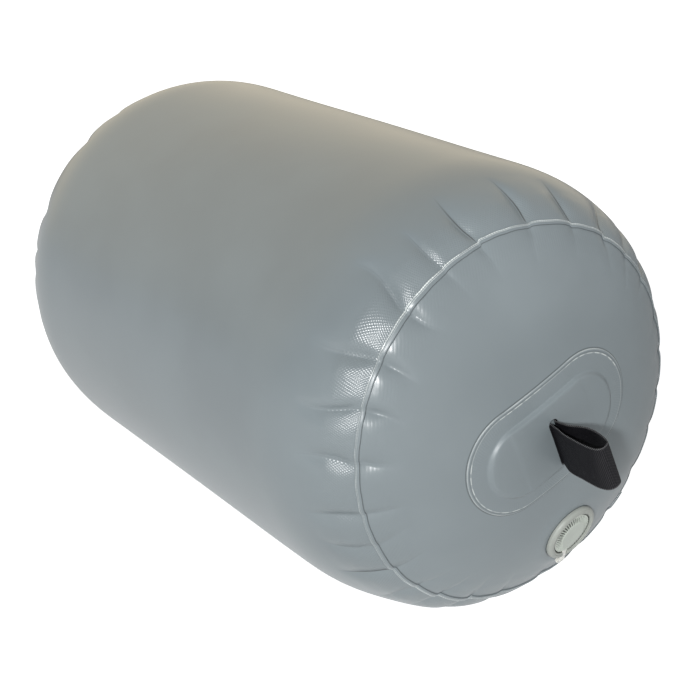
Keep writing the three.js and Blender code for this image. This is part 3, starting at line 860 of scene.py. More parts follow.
def skin_body(shape, finish):
    """Body sheet: outer and inner wall from seam to seam, gathered at both ends."""
    front_angle, rear_angle = gather_columns()
    half = graded([(GAP, 1.5 * MM), (66 * MM, 1.8 * MM), (115 * MM, 9 * MM), (SEAM_TO_MIDDLE, 20 * MM)])
    inner_half = graded([(GAP, 8 * MM), (90 * MM, 16 * MM), (SEAM_TO_MIDDLE, 90 * MM)])
    walls = []
    for rows, lift in ((half, 0.0), (inner_half, -SHEET)):
        distance = np.concatenate([rows, rows[-2::-1]])
        side = np.concatenate([np.ones(len(rows)), -np.ones(len(rows) - 1)])
        blend = smooth_step(0.8, -0.8, profile(distance)[0] * side / STRAIGHT_HALF)[:, None]
        angle = front_angle * (1 - blend) + rear_angle * blend
        row, front = distance[:, None], side[:, None] > 0
        places = [near_seam(row, angle, gathers) for _, _, gathers in ENDS]
        x, r, nx, nr, from_seam = (np.where(front, a, b) for a, b in zip(*places))
        x, nx = x * side[:, None], nx * side[:, None]
        lifts = [gather_lift(angle, from_seam, gathers, shape) for _, _, gathers in ENDS]
        lifted = np.where(front, *lifts)
        calm = smooth_step(30 * MM, 110 * MM, distance)[:, None]
        extra = lap_lift(angle) if lift == 0 else 0.0
        raised = lift + lifted + extra + calm * slow_waves(angle, x) - calm * 0.4 * MM
        raised = raised - front * flat_spot(angle, row)
        turned = angle + wander(angle, from_seam, shape)
        points = skin_points(x, r, nx, nr, turned, raised, max(0.0, -lift))
        folds = [crease_shade_layers(angle, from_seam, gathers) for _, _, gathers in ENDS]
        layers = [np.where(front, a, b) for a, b in zip(*folds)]
        walls.append((points, np.radians(angle) * RADIUS, np.broadcast_to(row, angle.shape), *layers))
    points, u, v, valley, fold = (np.concatenate([outer, inner[::-1]]) for outer, inner in zip(*walls))
    uv = closed_uv(u, v, 2 * math.pi * RADIUS)
    layers = (("valley", valley), ("fold", fold))
    piece = piece_from_grid("body_skin", points, uv, "fender", ["body_panel"], layers=layers)
    piece.data.materials.append(body_cloth(shape, finish))


def cut_away(piece, form, matrix):
    """Cuts a closed form, placed by a matrix, out of a piece: an exact boolean, applied at once."""
    mesh = bpy.data.meshes.new("cutter")
    form.to_mesh(mesh)
    form.free()
    mesh.transform(matrix)
    cutter = bpy.data.objects.new("cutter", mesh)
    bpy.context.scene.collection.objects.link(cutter)
    modifier = piece.modifiers.new("cut", "BOOLEAN")
    modifier.operation = "DIFFERENCE"
    modifier.solver = "EXACT"
    modifier.object = cutter
    graph = bpy.context.evaluated_depsgraph_get()
    cut = bpy.data.meshes.new_from_object(piece.evaluated_get(graph))
    piece.modifiers.clear()
    piece.data = cut
    bpy.data.objects.remove(cutter)


def rod(radius, low, high):
    """Closed rod along Z."""
    form = bmesh.new()
    bmesh.ops.create_cone(
        form, segments=96, cap_ends=True, radius1=radius, radius2=radius, depth=high - low,
    )
    bmesh.ops.translate(form, verts=form.verts, vec=(0, 0, (low + high) / 2))
    return form


def block(low, high):
    """Closed block between two corners."""
    form = bmesh.new()
    bmesh.ops.create_cube(form, size=1)
    bmesh.ops.scale(form, verts=form.verts, vec=np.subtract(high, low))
    bmesh.ops.translate(form, verts=form.verts, vec=np.add(low, high) / 2)
    return form


def skin_end(label, side, gathers, shape):
    """Domed end panel from just inside the seam to its middle, with an inner wall."""
    angle = gather_columns()[0 if side > 0 else 1]
    outer = -graded([(GAP, 1.5 * MM), (60 * MM, 1.7 * MM), (DISC_LENGTH, 9 * MM)])
    inner = -graded([(GAP, 7 * MM), (70 * MM, 10 * MM), (DISC_LENGTH, 30 * MM)])
    walls = []
    for distance, lift in ((outer, 0.0), (inner, -SHEET)):
        x, r, nx, nr, from_seam = near_seam(distance[:, None], angle[None, :], gathers)
        raised = lift + gather_lift(angle[None, :], from_seam, gathers, shape)
        turned = angle[None, :] + wander(angle[None, :], from_seam, shape)
        points = skin_points(x, r, nx, nr, turned, raised, clamp=False)
        points[-1] = points[-1].mean(axis=0)
        if side > 0:
            points = seat_valve(points, lift - 1.0 * MM)
        points[..., 0] *= side
        u = np.broadcast_to(np.radians(angle) * SEAM_RADIUS, points.shape[:2])
        layers = crease_shade_layers(np.broadcast_to(angle[None, :], u.shape), from_seam, gathers)
        walls.append((points, u, np.broadcast_to(distance[:, None], points.shape[:2]), *layers))
    points, u, v, valley, fold = (np.concatenate([a, b[::-1]]) for a, b in zip(*walls))
    uv = closed_uv(u, v, 2 * math.pi * SEAM_RADIUS)
    layers = (("valley", valley), ("fold", fold))
    name, replaced = f"{label}_end_skin", [f"{label}_end_panel"]
    piece = piece_from_grid(name, points, uv, "fender", replaced, layers=layers)
    if side > 0:
        cut_away(piece, rod(VALVE_HOLE, -40 * MM, 20 * MM), VALVE)
    return piece


def round_seam_uv(angle, across, points):
    """UV grid of a closed strip along a round seam: metres round it, and metres across."""
    u = np.broadcast_to(np.radians(angle) * SEAM_RADIUS, points.shape[:2])
    return closed_uv(u, np.broadcast_to(across[:, None], u.shape), 2 * math.pi * SEAM_RADIUS)


def seam_band(label, side, gathers, shape):
    """Narrow strip that follows the seam: a flat top, a raised cut edge and a thin foot.

    A bell curve of the angle makes it wider high on the -Y side, and two sines let it wobble.
    """
    angle = gather_columns()[0 if side > 0 else 1]
    half = shape.band_half
    across = np.array([
        half, half, half - 0.35 * MM, half - 0.75 * MM, half - 1.0 * MM, 0.3 * half, -0.3 * half,
        -half + 0.8 * MM, -half + 0.3 * MM, -half, -half - 0.45 * MM, -half - 0.5 * MM,
    ])
    height = np.array([0.15, 0.9, 1.4, 1.45, 1.2, 1.15, 1.15, 1.2, 1.1, 0.55, 0.4, 0.15]) * MM
    wobble = 0.15 * MM * np.sin(np.radians(angle) * 47 + 1.3 * np.sin(np.radians(angle) * 11))
    wide = 1 + 0.4 * np.exp(-(((np.mod(angle, 360) - 132) / 22) ** 2))
    row = across[:, None] * wide[None, :] + wobble[None, :]
    shifted = near_seam(row, angle[None, :], gathers)
    raised = height[:, None] + gather_lift(angle[None, :], shifted[4], gathers, shape) + lap_lift(angle)
    points = skin_points(*shifted[:4], angle[None, :], raised, clamp=False)
    points[..., 2] = np.maximum(points[..., 2], 0.0)
    points[..., 0] *= side
    uv, name = round_seam_uv(angle, across, points), f"{label}_seam_band"
    return piece_from_grid(name, points, uv, "fender", [f"{label}_seam_strip"])


def seam_tape(label, side, gathers, shape):
    """Wide tape under both cloths at the round seam, which follows the same gathers."""
    angle = gather_columns(9)[0 if side > 0 else 1]
    line = np.linspace(-TAPE_HALF, TAPE_HALF, 11)
    across = np.concatenate([line, line[::-1]])
    height = np.concatenate([np.full(11, TAPE_TOP), np.full(11, TAPE_TOP - TAPE_THICK)])
    x, r, nx, nr, from_seam = near_seam(across[:, None], angle[None, :], gathers)
    raised = height[:, None] + gather_lift(angle[None, :], from_seam, gathers, shape)
    turned = angle[None, :] + wander(angle[None, :], from_seam, shape)
    points = skin_points(x, r, nx, nr, turned, raised, 3 * MM)
    points[..., 0] *= side
    uv = round_seam_uv(angle, across, points)
    return piece_from_grid(f"{label}_tape", points, uv, "fender", [f"{label}_seam_tape"])


def patch_points(u, w, lift, side):
    """Points over the dome at patch coordinates, lifted along X."""
    y = u * math.cos(PATCH_TURN) - w * math.sin(PATCH_TURN)
    z = u * math.sin(PATCH_TURN) + w * math.cos(PATCH_TURN)
    return np.stack([side * (dome_x(np.hypot(y, z)) + lift), y, AXIS_HEIGHT + z], axis=-1)


def oblong(half_u, half_w, share):
    """Rounded oblong by the share of its outline, from its +U end round by +W.

    Each quarter is a straight stretch and a quarter circle, walked at an even pace.
    """
    round_off = np.minimum(half_u, half_w)
    flat_u, flat_w = half_u - round_off, half_w - round_off
    quarter_length = flat_u + flat_w + math.pi / 2 * round_off
    quarter = np.floor(share * 4).astype(int) % 4
    part = share * 4 - np.floor(share * 4)
    along = np.where(quarter % 2 == 1, 1 - part, part) * quarter_length
    bend = np.clip((along - flat_w) / round_off, 0, math.pi / 2)
    past = np.clip(along - flat_w - math.pi / 2 * round_off, 0, None)
    u = np.where(along < flat_w, half_u, flat_u + round_off * np.cos(bend) - past)
    w = np.where(along < flat_w, along, flat_w + round_off * np.sin(bend))
    return np.where((quarter == 1) | (quarter == 2), -u, u), np.where(quarter > 1, -w, w)


COVER_RINGS = np.array([
    # middle U, middle W, half U and half W, all in millimetres
    (0.6, -9.8, 5.6, 27.4),
    (-0.4, -5, 29, 31.5),
    (-1.5, -2.4, 52, 33.4),
    (-1.5, -2, 70.5, 33.3),
    (-1.5, -2, 79, 39),
    (-1, 0, 97.5, 54.5),
]) * MM
COVER_OUTLINE = 560 * MM
COVER_ACROSS = 100 * MM


def handle_cover(label, side):
    """Cover patch from its slit to its outer edge: a raised pocket, a soft shoulder and a border.

    Rings of oblongs are blended by their place across the patch, and the lift falls from the pocket
    to the border by two smooth steps. The webbing's tails stand out a little, and the outer edge is
    rounded off by a quarter circle.
    """
    share = np.arange(240) / 240
    knots = np.linspace(0, 1, len(COVER_RINGS))
    place = np.unique(np.concatenate([
        np.linspace(0, 0.6, 26), np.linspace(0.6, 0.8, 14), np.linspace(0.8, 1, 20), [0.985, 0.993],
    ]))
    u0, w0, half_u, half_w = (np.interp(place, knots, ring)[:, None] for ring in COVER_RINGS.T)
    down = (0.8 * smooth_step(0.66, 0.77, place) + 0.2 * smooth_step(0.57, 0.8, place))[:, None]
    lift = POCKET_LOW + (GAP - POCKET_LOW) * down
    u, w = oblong(half_u, half_w, share[None, :])
    u, w = u + u0, w + w0
    imprint = 0.35 * MM * smooth_step(46 * MM, 42.5 * MM, np.abs(u)) * (1 - down)
    rounding = np.clip((place - 0.985) / 0.015, 0, 1)
    thick = COVER_THICK * np.sqrt(np.clip(1 - rounding**2, 0.04, 1))[:, None]
    top = patch_points(u, w, lift + thick + imprint, side)
    under = patch_points(u, w, lift + 0 * w, side)
    points = np.concatenate([top, under[::-1]])
    outline, edge = np.broadcast_arrays(share * COVER_OUTLINE, (place * COVER_ACROSS)[:, None])
    both = (np.concatenate([outline, outline[::-1]]), np.concatenate([edge, edge[::-1]]))
    uv, name = closed_uv(*both, COVER_OUTLINE), f"{label}_handle_patch"
    return piece_from_grid(name, points, uv, "fender", [f"{label}_handle_cover"])


def cover_cloth(finish):
    """Patch cloth: a pale cut edge, whiter on the lower side, a broken line inside it, and a knurl."""
    material, tree, shader = material_nodes("cover_cloth")
    outline, v = uv_axes(tree)
    colour, height = cloth_base(tree, shader, finish, duller=0.12)
    lower = ramped(tree, patch_axes(tree)[1], -45 * MM, -20 * MM, 1.0, 0.0)
    cut = ramped(tree, v, 98.9 * MM, 99.4 * MM)
    line = thin_line(tree, v, 96.0 * MM, 0.35 * MM)
    drift = calc(tree, "MULTIPLY_ADD", noise(tree, 14.0), 3.0, calc(tree, "DIVIDE", outline, 12 * MM))
    patchy = ramped(tree, noise(tree, 16.0), 0.44, 0.54)
    dashes = product(tree, ramped(tree, grooved(tree, drift), 0.35, 0.7), patchy)
    dashes = calc(tree, "MULTIPLY_ADD", dashes, 0.6, 0.22)
    worn = ramped(tree, noise(tree, 30.0, detail=2.0), 0.35, 0.6, 0.35, 0.9)
    beside = product(tree, thin_line(tree, v, 97.4 * MM, 0.4 * MM), 0.35)
    colour = tinted(tree, colour, beside, shade(finish.cloth, 0.3))
    cut = product(tree, cut, calc(tree, "MULTIPLY_ADD", lower, 1.1, 0.55))
    marks = calc(tree, "MAXIMUM", product(tree, cut, worn), product(tree, line, dashes))
    connect(tree, shader.inputs["Base Color"], tinted(tree, colour, marks, shade(finish.cut_edge, 1.3)))
    border = ramped(tree, v, 83 * MM, 86 * MM)
    pattern = knurl(tree, outline, product(tree, v, 0.8), 2.4 * MM)
    height = calc(tree, "MULTIPLY_ADD", product(tree, pattern, border), 0.07 * MM, height)
    bumped(tree, shader, height)
    return material


def smooth_line(points, per_span):
    """Catmull-Rom curve through points, with per_span steps between neighbours."""
    padded = np.concatenate([2 * points[:1] - points[1:2], points, 2 * points[-1:] - points[-2:-1]])
    t = np.arange(per_span)[:, None] / per_span
    spans = [
        0.5 * (
            2 * p1 + (p2 - p0) * t + (2 * p0 - 5 * p1 + 4 * p2 - p3) * t**2
            + (3 * p1 - p0 - 3 * p2 + p3) * t**3
        )
        for p0, p1, p2, p3 in zip(padded, padded[1:], padded[2:], padded[3:])
    ]
    return np.concatenate([*spans, points[-1:]])


def loop_line(loop, w):
    """Middle line of the strap at one selvedge: a tail under the cover, the loop, and a tail."""
    stops = np.array([1, 0.6, 0.2]) * TAIL_LENGTH
    lay = WEB_LOW_FACE + WEB_THICK / 2
    rise = dome_x(np.hypot(stops, w)) - dome_x(0.0) + lay
    before = np.stack([SLIT_MIDDLE - stops, rise], axis=-1)
    after = np.stack([SLIT_MIDDLE + stops, rise], axis=-1)[::-1]
    return smooth_line(np.concatenate([before, loop * MM, after]), 8)


def webbing_loop(label, side):
    """Strap with rounded selvedges: a flat oval section carried along the loop between its two edges."""
    top, low = loop_line(LOOP_TOP, WEB_TOP), loop_line(LOOP_LOW, WEB_LOW)
    turn = np.linspace(0, 2 * math.pi, 73)[:-1]
    across = 0.5 - 0.5 * np.sign(np.cos(turn)) * np.abs(np.cos(turn)) ** 0.45
    thick = 0.5 * WEB_THICK * np.sign(np.sin(turn)) * np.abs(np.sin(turn)) ** 0.35
    line = top[:, None] * (1 - across[None, :, None]) + low[:, None] * across[None, :, None]
    forward = unit(np.gradient(line, axis=0))
    u = line[..., 0] + forward[..., 1] * thick
    height = line[..., 1] - forward[..., 0] * thick
    w = WEB_TOP + (WEB_LOW - WEB_TOP) * across
    flat = patch_points(u, np.broadcast_to(w, u.shape), 0.0, side)
    flat[..., 0] = side * (dome_x(0.0) + height)
    middle = line.mean(axis=1)
    walked = np.concatenate([[0], np.cumsum(np.linalg.norm(np.diff(middle, axis=0), axis=1))])
    ends = [np.broadcast_to(flat[i].mean(axis=0), flat[i].shape)[None] for i in (0, -1)]
    points = np.concatenate([ends[0], flat, ends[1]])
    walked = np.concatenate([walked[:1], walked, walked[-1:]])
    around = np.concatenate([across, across[:1]]) * (WEB_TOP - WEB_LOW)
    uv = np.stack(np.broadcast_arrays(walked[:, None], around[None, :]), axis=-1)
    name, replaced = f"{label}_webbing", [f"{label}_handle_webbing"]
    return piece_from_grid(name, points, uv, "fender", replaced, closed_rows=False)


def webbing_cloth(shape, finish):
    """Black twill: short raised threads in slanting rows, and pale slanted ticks on the selvedges.

    The threads are painted paler round the loop's tip as a highlight, and worn paler at random.
    """
    material, tree, shader = material_nodes("webbing_cloth")
    u, w = uv_axes(tree)
    wale = 1.25 * MM
    column = calc(tree, "DIVIDE", w, wale)
    repeat = calc(tree, "DIVIDE", u, shape.weave_pitch)
    phase = calc(tree, "MULTIPLY_ADD", calc(tree, "FLOOR", column), 0.36, repeat)
    thread = product(tree, grooved(tree, phase), grooved(tree, column))
    from_middle = calc(tree, "ABSOLUTE", calc(tree, "SUBTRACT", w, (WEB_TOP - WEB_LOW) / 2))
    selvedge = ramped(tree, from_middle, 23.2 * MM, 24.0 * MM)
    tick_phase = calc(tree, "MULTIPLY_ADD", w, 0.6 / MM, calc(tree, "DIVIDE", u, 2.0 * MM))
    ticks = product(tree, ramped(tree, grooved(tree, tick_phase), 0.55, 0.85), selvedge)
    worn = ramped(tree, noise(tree, 45.0, detail=3.0), 0.35, 0.75)
    from_tip = calc(tree, "ABSOLUTE", calc(tree, "SUBTRACT", u, WEB_TIP))
    # Random worn paleness, and a painted highlight on the threads round the loop's tip.
    wear_and_tip_highlight = calc(tree, "MULTIPLY_ADD", worn, 0.1, 0.02)
    wear_and_tip_highlight = calc(tree, "ADD", wear_and_tip_highlight, ramped(tree, from_tip, 6 * MM, 24 * MM, 0.75, 0.0))
    light = product(tree, ramped(tree, thread, 0.45, 0.95), wear_and_tip_highlight)
    colour = tinted(tree, finish.webbing, light, (0.075, 0.075, 0.08))
    colour = tinted(tree, colour, product(tree, ticks, 0.6), (0.2, 0.2, 0.205))
    connect(tree, shader.inputs["Base Color"], colour)
    shader.inputs["Roughness"].default_value = 0.6
    shader.inputs["Specular IOR Level"].default_value = 0.12
    fuzz = product(tree, noise(tree, 2500.0, detail=1.0), 0.03 * MM)
    height = calc(tree, "MULTIPLY_ADD", calc(tree, "MAXIMUM", thread, ticks), 0.3 * MM, fuzz)
    bumped(tree, shader, height)
    return material


def rounded_profile(corners, radius):
    """Closed profile of (r, z) corners with each corner rounded by a short quadratic curve."""
    corners = np.array(corners, float)
    before, after = np.roll(corners, 1, axis=0), np.roll(corners, -1, axis=0)

    def toward(target):
        step = target - corners
        length = np.linalg.norm(step, axis=1, keepdims=True)
        return corners + step * np.minimum(0.45, radius / np.maximum(length, 1e-9))

    start, end = toward(before), toward(after)
    t = np.linspace(0, 1, 4)[None, :, None]
    curve = start[:, None] * (1 - t) ** 2 + 2 * corners[:, None] * t * (1 - t) + end[:, None] * t**2
    return curve.reshape(-1, 2)


def turned_points(line, segments):
    """A profile of (r, z) turned about Z, as rows x segments x 3."""
    angle = np.arange(segments) * 2 * math.pi / segments
    r, z = line[:, 0, None], line[:, 1, None]
    return np.stack(np.broadcast_arrays(r * np.cos(angle), r * np.sin(angle), z), axis=-1)


def turned_piece(name, corners, segments, body, replaced, radius=0.25 * MM):
    """Ring or disc in the valve's frame: a rounded profile turned about its axis."""
    line = rounded_profile(np.array(corners) * MM, radius)
    line[:, 0] = np.maximum(line[:, 0], 0)
    points = placed(turned_points(line, segments))
    u, v = np.meshgrid(np.arange(segments) / segments, np.arange(len(line)) / len(line))
    return piece_from_grid(name, points, closed_uv(u, v, 1.0), body, replaced)


def shader_of(material):
    """Principled shader of a material, and the socket that gives its colour."""
    shader = next(node for node in material.node_tree.nodes if node.type == "BSDF_PRINCIPLED")
    return shader, shader.inputs["Base Color"].links[0].from_socket


def flange(finish):
    """Valve body: flange ring, recess and neck, with the notch for the tether."""
    corners = [
        (30.5, -0.9), (30.5, 1.2), (30.1, 2.6), (29.2, 3.6), (27.9, 4.3), (26.6, 4.6), (26, 4.5),
        (25.7, 4.0), (24.8, 3.8), (24.3, 3.9), (23.8, 3.5), (23.8, 1.2), (15.6, 1.2), (15.6, -24),
        (19, -24), (19, 0.35),
    ]
    piece = turned_piece("valve_flange", corners, 192, "fender", ["valve_body"], 0.3 * MM)
    notch = block(
        (RECESS_RADIUS - 2 * MM, -NOTCH_HALF, RECESS_FLOOR),
        (RECESS_RADIUS + 12 * MM, NOTCH_HALF, RECESS_FLOOR + 8 * MM),
    )
    cut_away(piece, notch, VALVE @ Matrix.Rotation(TETHER_TURN, 4, "Z"))
    moulding = plain_finish("valve_moulding", finish.valve, 0.42)
    tree = moulding.node_tree
    shader, plain = shader_of(moulding)
    radius, height = valve_axes(tree)
    # Painted shade inside the recess round the cap, below the top of its wall.
    within = ramped(tree, radius, RECESS_RADIUS - 0.1 * MM, RECESS_RADIUS + 0.3 * MM, 1.0, 0.0)
    inside = product(tree, within, ramped(tree, height, 2.2 * MM, 3.6 * MM, 0.9, 0.0))
    connect(tree, shader.inputs["Base Color"], tinted(tree, plain, inside, shade(finish.valve, 0.12)))
    piece.data.materials.clear()
    piece.data.materials.append(moulding)


def cap(finish):
    """Screw cap: flat face, and V grooves round its sloping flank.

    The grooves are a wave of near-triangular teeth round the cap, times a depth for each ring of the
    profile. The same wave paints shade into their bottoms.
    """
    per_tooth = 8
    segments = CAP_TEETH * per_tooth
    corners = np.array([
        # radius, height, and the groove's depth there
        (0, 5.2, 0), (8, 5.2, 0), (14.2, 5.2, 0), (14.8, 5.15, 0.05), (15.3, 5.0, 0.7),
        (17.2, 4.45, 1.1), (19.2, 3.9, 1.15), (21.0, 3.4, 1.0), (22.0, 3.1, 0.8), (22.6, 2.9, 0.5),
        (22.6, 2.3, 0), (15.2, 2.3, 0), (15.2, 2.3, 0), (14.9, -4.4, 0), (12.2, -4.4, 0),
        (12.4, 2.0, 0), (6, 2.0, 0), (0, 2.0, 0),
    ]) * MM
    points = turned_points(corners, segments)
    tooth = 1 - np.abs(np.mod(np.arange(segments) / per_tooth, 1) * 2 - 1) ** 1.2
    cut = corners[:, 2, None] * tooth[None, :]
    points[..., 2] -= cut
    pull = 0.7 * MM * (np.hypot(corners[:, 0], corners[:, 1]) > 18 * MM)[:, None] * tooth[None, :]
    points[..., :2] *= (1 - pull / np.maximum(corners[:, 0], 1 * MM)[:, None])[..., None]
    u, v = np.meshgrid(np.arange(segments) / segments, np.arange(len(corners)) / len(corners))
    piece = piece_from_grid(
        "screw_cap", placed(points), closed_uv(u, v, 1.0)[:-1], "cap", ["valve_cap"],
        closed_rows=False, layers=(("groove", cut / MM),),
    )
    moulding = plain_finish("cap_moulding", finish.cap, 0.36)
    tree = moulding.node_tree
    shader, plain = shader_of(moulding)
    # Painted shade in the bottoms of the grooves.
    painted_shade = ramped(tree, layer_value(tree, "groove"), 0.35, 0.75, 0.0, 0.9)
    connect(tree, shader.inputs["Base Color"], tinted(tree, plain, painted_shade, shade(finish.cap, 0.1)))
    piece.data.materials.append(moulding)


def tether(finish):
    """Soft strap of oblong section that curls out of the notch, and its ring under the cap.
    """
    line = smooth_line(np.array([
        (21, 2.05), (26, 2.05), (31, 2.3), (35, 2.9), (38.1, 2.3), (39.5, 0.6), (38.5, -1.2),
        (35.5, -1.5), (32.9, -0.6), (31.5, 0.2),
    ]) * MM, 8)
    forward = unit(np.gradient(line, axis=0))
    turn = np.arange(40) * 2 * math.pi / 40
    wide = TETHER_HALF * np.sign(np.cos(turn)) * np.abs(np.cos(turn)) ** 0.35
    thick = 0.45 * MM * np.sign(np.sin(turn)) * np.abs(np.sin(turn)) ** 0.6
    r = line[:, 0, None] + forward[:, 1, None] * thick
    z = line[:, 1, None] - forward[:, 0, None] * thick
    points = np.stack([r, np.broadcast_to(wide, r.shape), z], axis=-1)
    ends = [np.broadcast_to(points[i].mean(axis=0), points[i].shape)[None] for i in (0, -1)]
    points = np.concatenate([ends[0], points, ends[1]])
    swing = Matrix.Rotation(TETHER_TURN, 4, "Z")
    grid = placed(placed(points, swing))
    uv = np.zeros((len(points), len(turn) + 1, 2))
    slot, replaced = "tether_plastic", ["cap_tether"]
    strap = piece_from_grid("tether_strap", grid, uv, None, replaced, closed_rows=False)
    corners = [(19.4, 1.6), (22, 1.6), (22, 2.5), (19.4, 2.5)]
    ring = turned_piece("tether_ring", corners, 96, None, replaced)
    milky = plain_finish("tether_plastic", finish.tether, 0.3, variation=0.03)
    shader, _ = shader_of(milky)
    shader.inputs["Subsurface Weight"].default_value = 0.3
    shader.inputs["Subsurface Radius"].default_value = (0.002, 0.002, 0.0018)
    for piece in (strap, ring):
        piece.data.materials.append(milky)
        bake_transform(piece)


def spring():
    """Coil spring of the stem: a round wire along a helix whose first and last turns lie flat.
    """
    low, high = SPRING_LOW, SPRING_HIGH
    coil, wire, turns = 5 * MM, 0.4 * MM, 5
    turned = np.linspace(0, turns, turns * 40 + 1)
    z = low + (high - low) * np.clip((turned - 0.8) / (turns - 1.6), 0, 1)
    angle = turned * 2 * math.pi
    line = np.stack([coil * np.cos(angle), coil * np.sin(angle), z], axis=-1)
    forward = unit(np.gradient(line, axis=0))
    outward = np.stack([np.cos(angle), np.sin(angle), 0 * angle], axis=-1)
    beside = np.cross(forward, outward)
    around = (np.arange(12) * 2 * math.pi / 12)[None, :, None]
    points = line[:, None] + wire * (np.cos(around) * outward[:, None] + np.sin(around) * beside[:, None])
    points = np.concatenate([0 * points[:1] + line[0], points, 0 * points[-1:] + line[-1]])
    uv = np.zeros((len(points), points.shape[1] + 1, 2))
    slot, replaced = "spring_steel", ["stem_spring"]
    grid = placed(points)
    piece = piece_from_grid("spring_coil", grid, uv, "fender", replaced, closed_rows=False)
    piece.data.materials.append(plain_finish("spring_wire", (0.6, 0.6, 0.61), 0.28, metallic=1.0))
    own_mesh(piece)


def settings():
    """The three property groups of the scene."""
    scene = bpy.context.scene
    return scene.fender_shape, scene.fender_finish, scene.fender_stage


class FENDER_OT_body(bpy.types.Operator):
    """Make the gathered body skin"""

    bl_idname = "fender.body"
    bl_label = "Body skin"

    def execute(self, context):
        shape, finish, _ = settings()
        skin_body(shape, finish)
        return {"FINISHED"}


class FENDER_OT_ends(bpy.types.Operator):
    """Make the two domed end panels"""

    bl_idname = "fender.ends"
    bl_label = "End panels"

    def execute(self, context):
        shape, finish, _ = settings()
        cloth = end_cloth(shape, finish)
        for label, side, gathers in ENDS:
            piece = skin_end(label, side, gathers, shape)
            piece.data.materials.clear()
            piece.data.materials.append(cloth)
        return {"FINISHED"}


class FENDER_OT_bands(bpy.types.Operator):
    """Make the narrow strips over the round seams"""

    bl_idname = "fender.bands"
    bl_label = "Seam bands"

    def execute(self, context):
        shape, finish, _ = settings()
        cloth = band_cloth(shape, finish)
        inner = plain_finish("tape_cloth", finish.cloth, 0.5, grain_scale=400.0)
        for label, side, gathers in ENDS:
            seam_band(label, side, gathers, shape).data.materials.append(cloth)
            seam_tape(label, side, gathers, shape).data.materials.append(inner)
        return {"FINISHED"}


class FENDER_OT_covers(bpy.types.Operator):
    """Make the welded handle patches"""

    bl_idname = "fender.covers"
    bl_label = "Handle patches"

    def execute(self, context):
        cloth = cover_cloth(settings()[1])
        for label, side, _ in ENDS:
            handle_cover(label, side).data.materials.append(cloth)
        return {"FINISHED"}


class FENDER_OT_loops(bpy.types.Operator):
    """Make the webbing loops"""

    bl_idname = "fender.loops"
    bl_label = "Webbing loops"

    def execute(self, context):
        shape, finish, _ = settings()
        cloth = webbing_cloth(shape, finish)
        for label, side, _ in ENDS:
            webbing_loop(label, side).data.materials.append(cloth)
        return {"FINISHED"}


class FENDER_OT_valve(bpy.types.Operator):
    """Make the valve's flange, its screw cap, the cap's tether and the spring"""

    bl_idname = "fender.valve"
    bl_label = "Air valve"

    def execute(self, context):
        finish = settings()[1]
        flange(finish)
        cap(finish)
        tether(finish)
        spring()
        return {"FINISHED"}


class FENDER_OT_inner(bpy.types.Operator):
    """Give the inner parts their finishes"""

    bl_idname = "fender.inner"
    bl_label = "Inner parts"

    def execute(self, context):
        finish = settings()[1]
        cloth = plain_finish("inner_cloth", finish.cloth, 0.5, grain_scale=400.0)
        rubber = plain_finish("black_rubber", (0.02, 0.02, 0.021), 0.6)
        moulding = plain_finish("inner_moulding", finish.valve, 0.45)
        looks = {
            "front_handle_base": cloth, "rear_handle_base": cloth, "flange_gasket": rubber,
            "stem_seal": rubber, "cap_seal": rubber, "back_nut": moulding, "valve_stem": moulding,
        }
        for node, look in looks.items():
            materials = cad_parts[node].data.materials
            materials.clear()
            materials.append(look)
        return {"FINISHED"}


def pale_floor(stage):
    """Floor disc: a diffuse surface that the camera sees lifted to white, with its shadow kept."""
    form = bmesh.new()
    bmesh.ops.create_circle(form, cap_ends=True, segments=96, radius=stage.floor_radius)
    mesh = bpy.data.meshes.new("floor")
    form.to_mesh(mesh)
    form.free()
    floor = bpy.data.objects.new("floor", mesh)
    bpy.context.scene.collection.objects.link(floor)
    material = bpy.data.materials.new("floor")
    material.use_nodes = True
    tree = material.node_tree
    tree.nodes.clear()
    path = tree.nodes.new("ShaderNodeLightPath")
    diffuse = tree.nodes.new("ShaderNodeBsdfDiffuse")
    glow = tree.nodes.new("ShaderNodeEmission")
    both = tree.nodes.new("ShaderNodeAddShader")
    output = tree.nodes.new("ShaderNodeOutputMaterial")
    diffuse.inputs["Color"].default_value = (0.8, 0.8, 0.8, 1)
    place = object_axes(tree)
    # In reflections the floor glows, dimmer behind the fender as a painted shadow of the fender.
    behind = ramped(tree, place[1], -0.2, 0.6, 1.0, 0.0)
    clean = ramped(tree, hypotenuse(tree, place[0], place[1]), 0.6, 1.6, 0.84, 1.0)
    seen = calc(tree, "MAXIMUM", path.outputs["Is Camera Ray"], path.outputs["Is Transmission Ray"])
    mirrored = product(tree, product(tree, path.outputs["Is Glossy Ray"], behind), 0.6)
    level = calc(tree, "MAXIMUM", product(tree, seen, clean), mirrored)
    connect(tree, glow.inputs["Strength"], level)
    tree.links.new(diffuse.outputs[0], both.inputs[0])
    tree.links.new(glow.outputs[0], both.inputs[1])
    tree.links.new(both.outputs[0], output.inputs[0])
    mesh.materials.append(material)


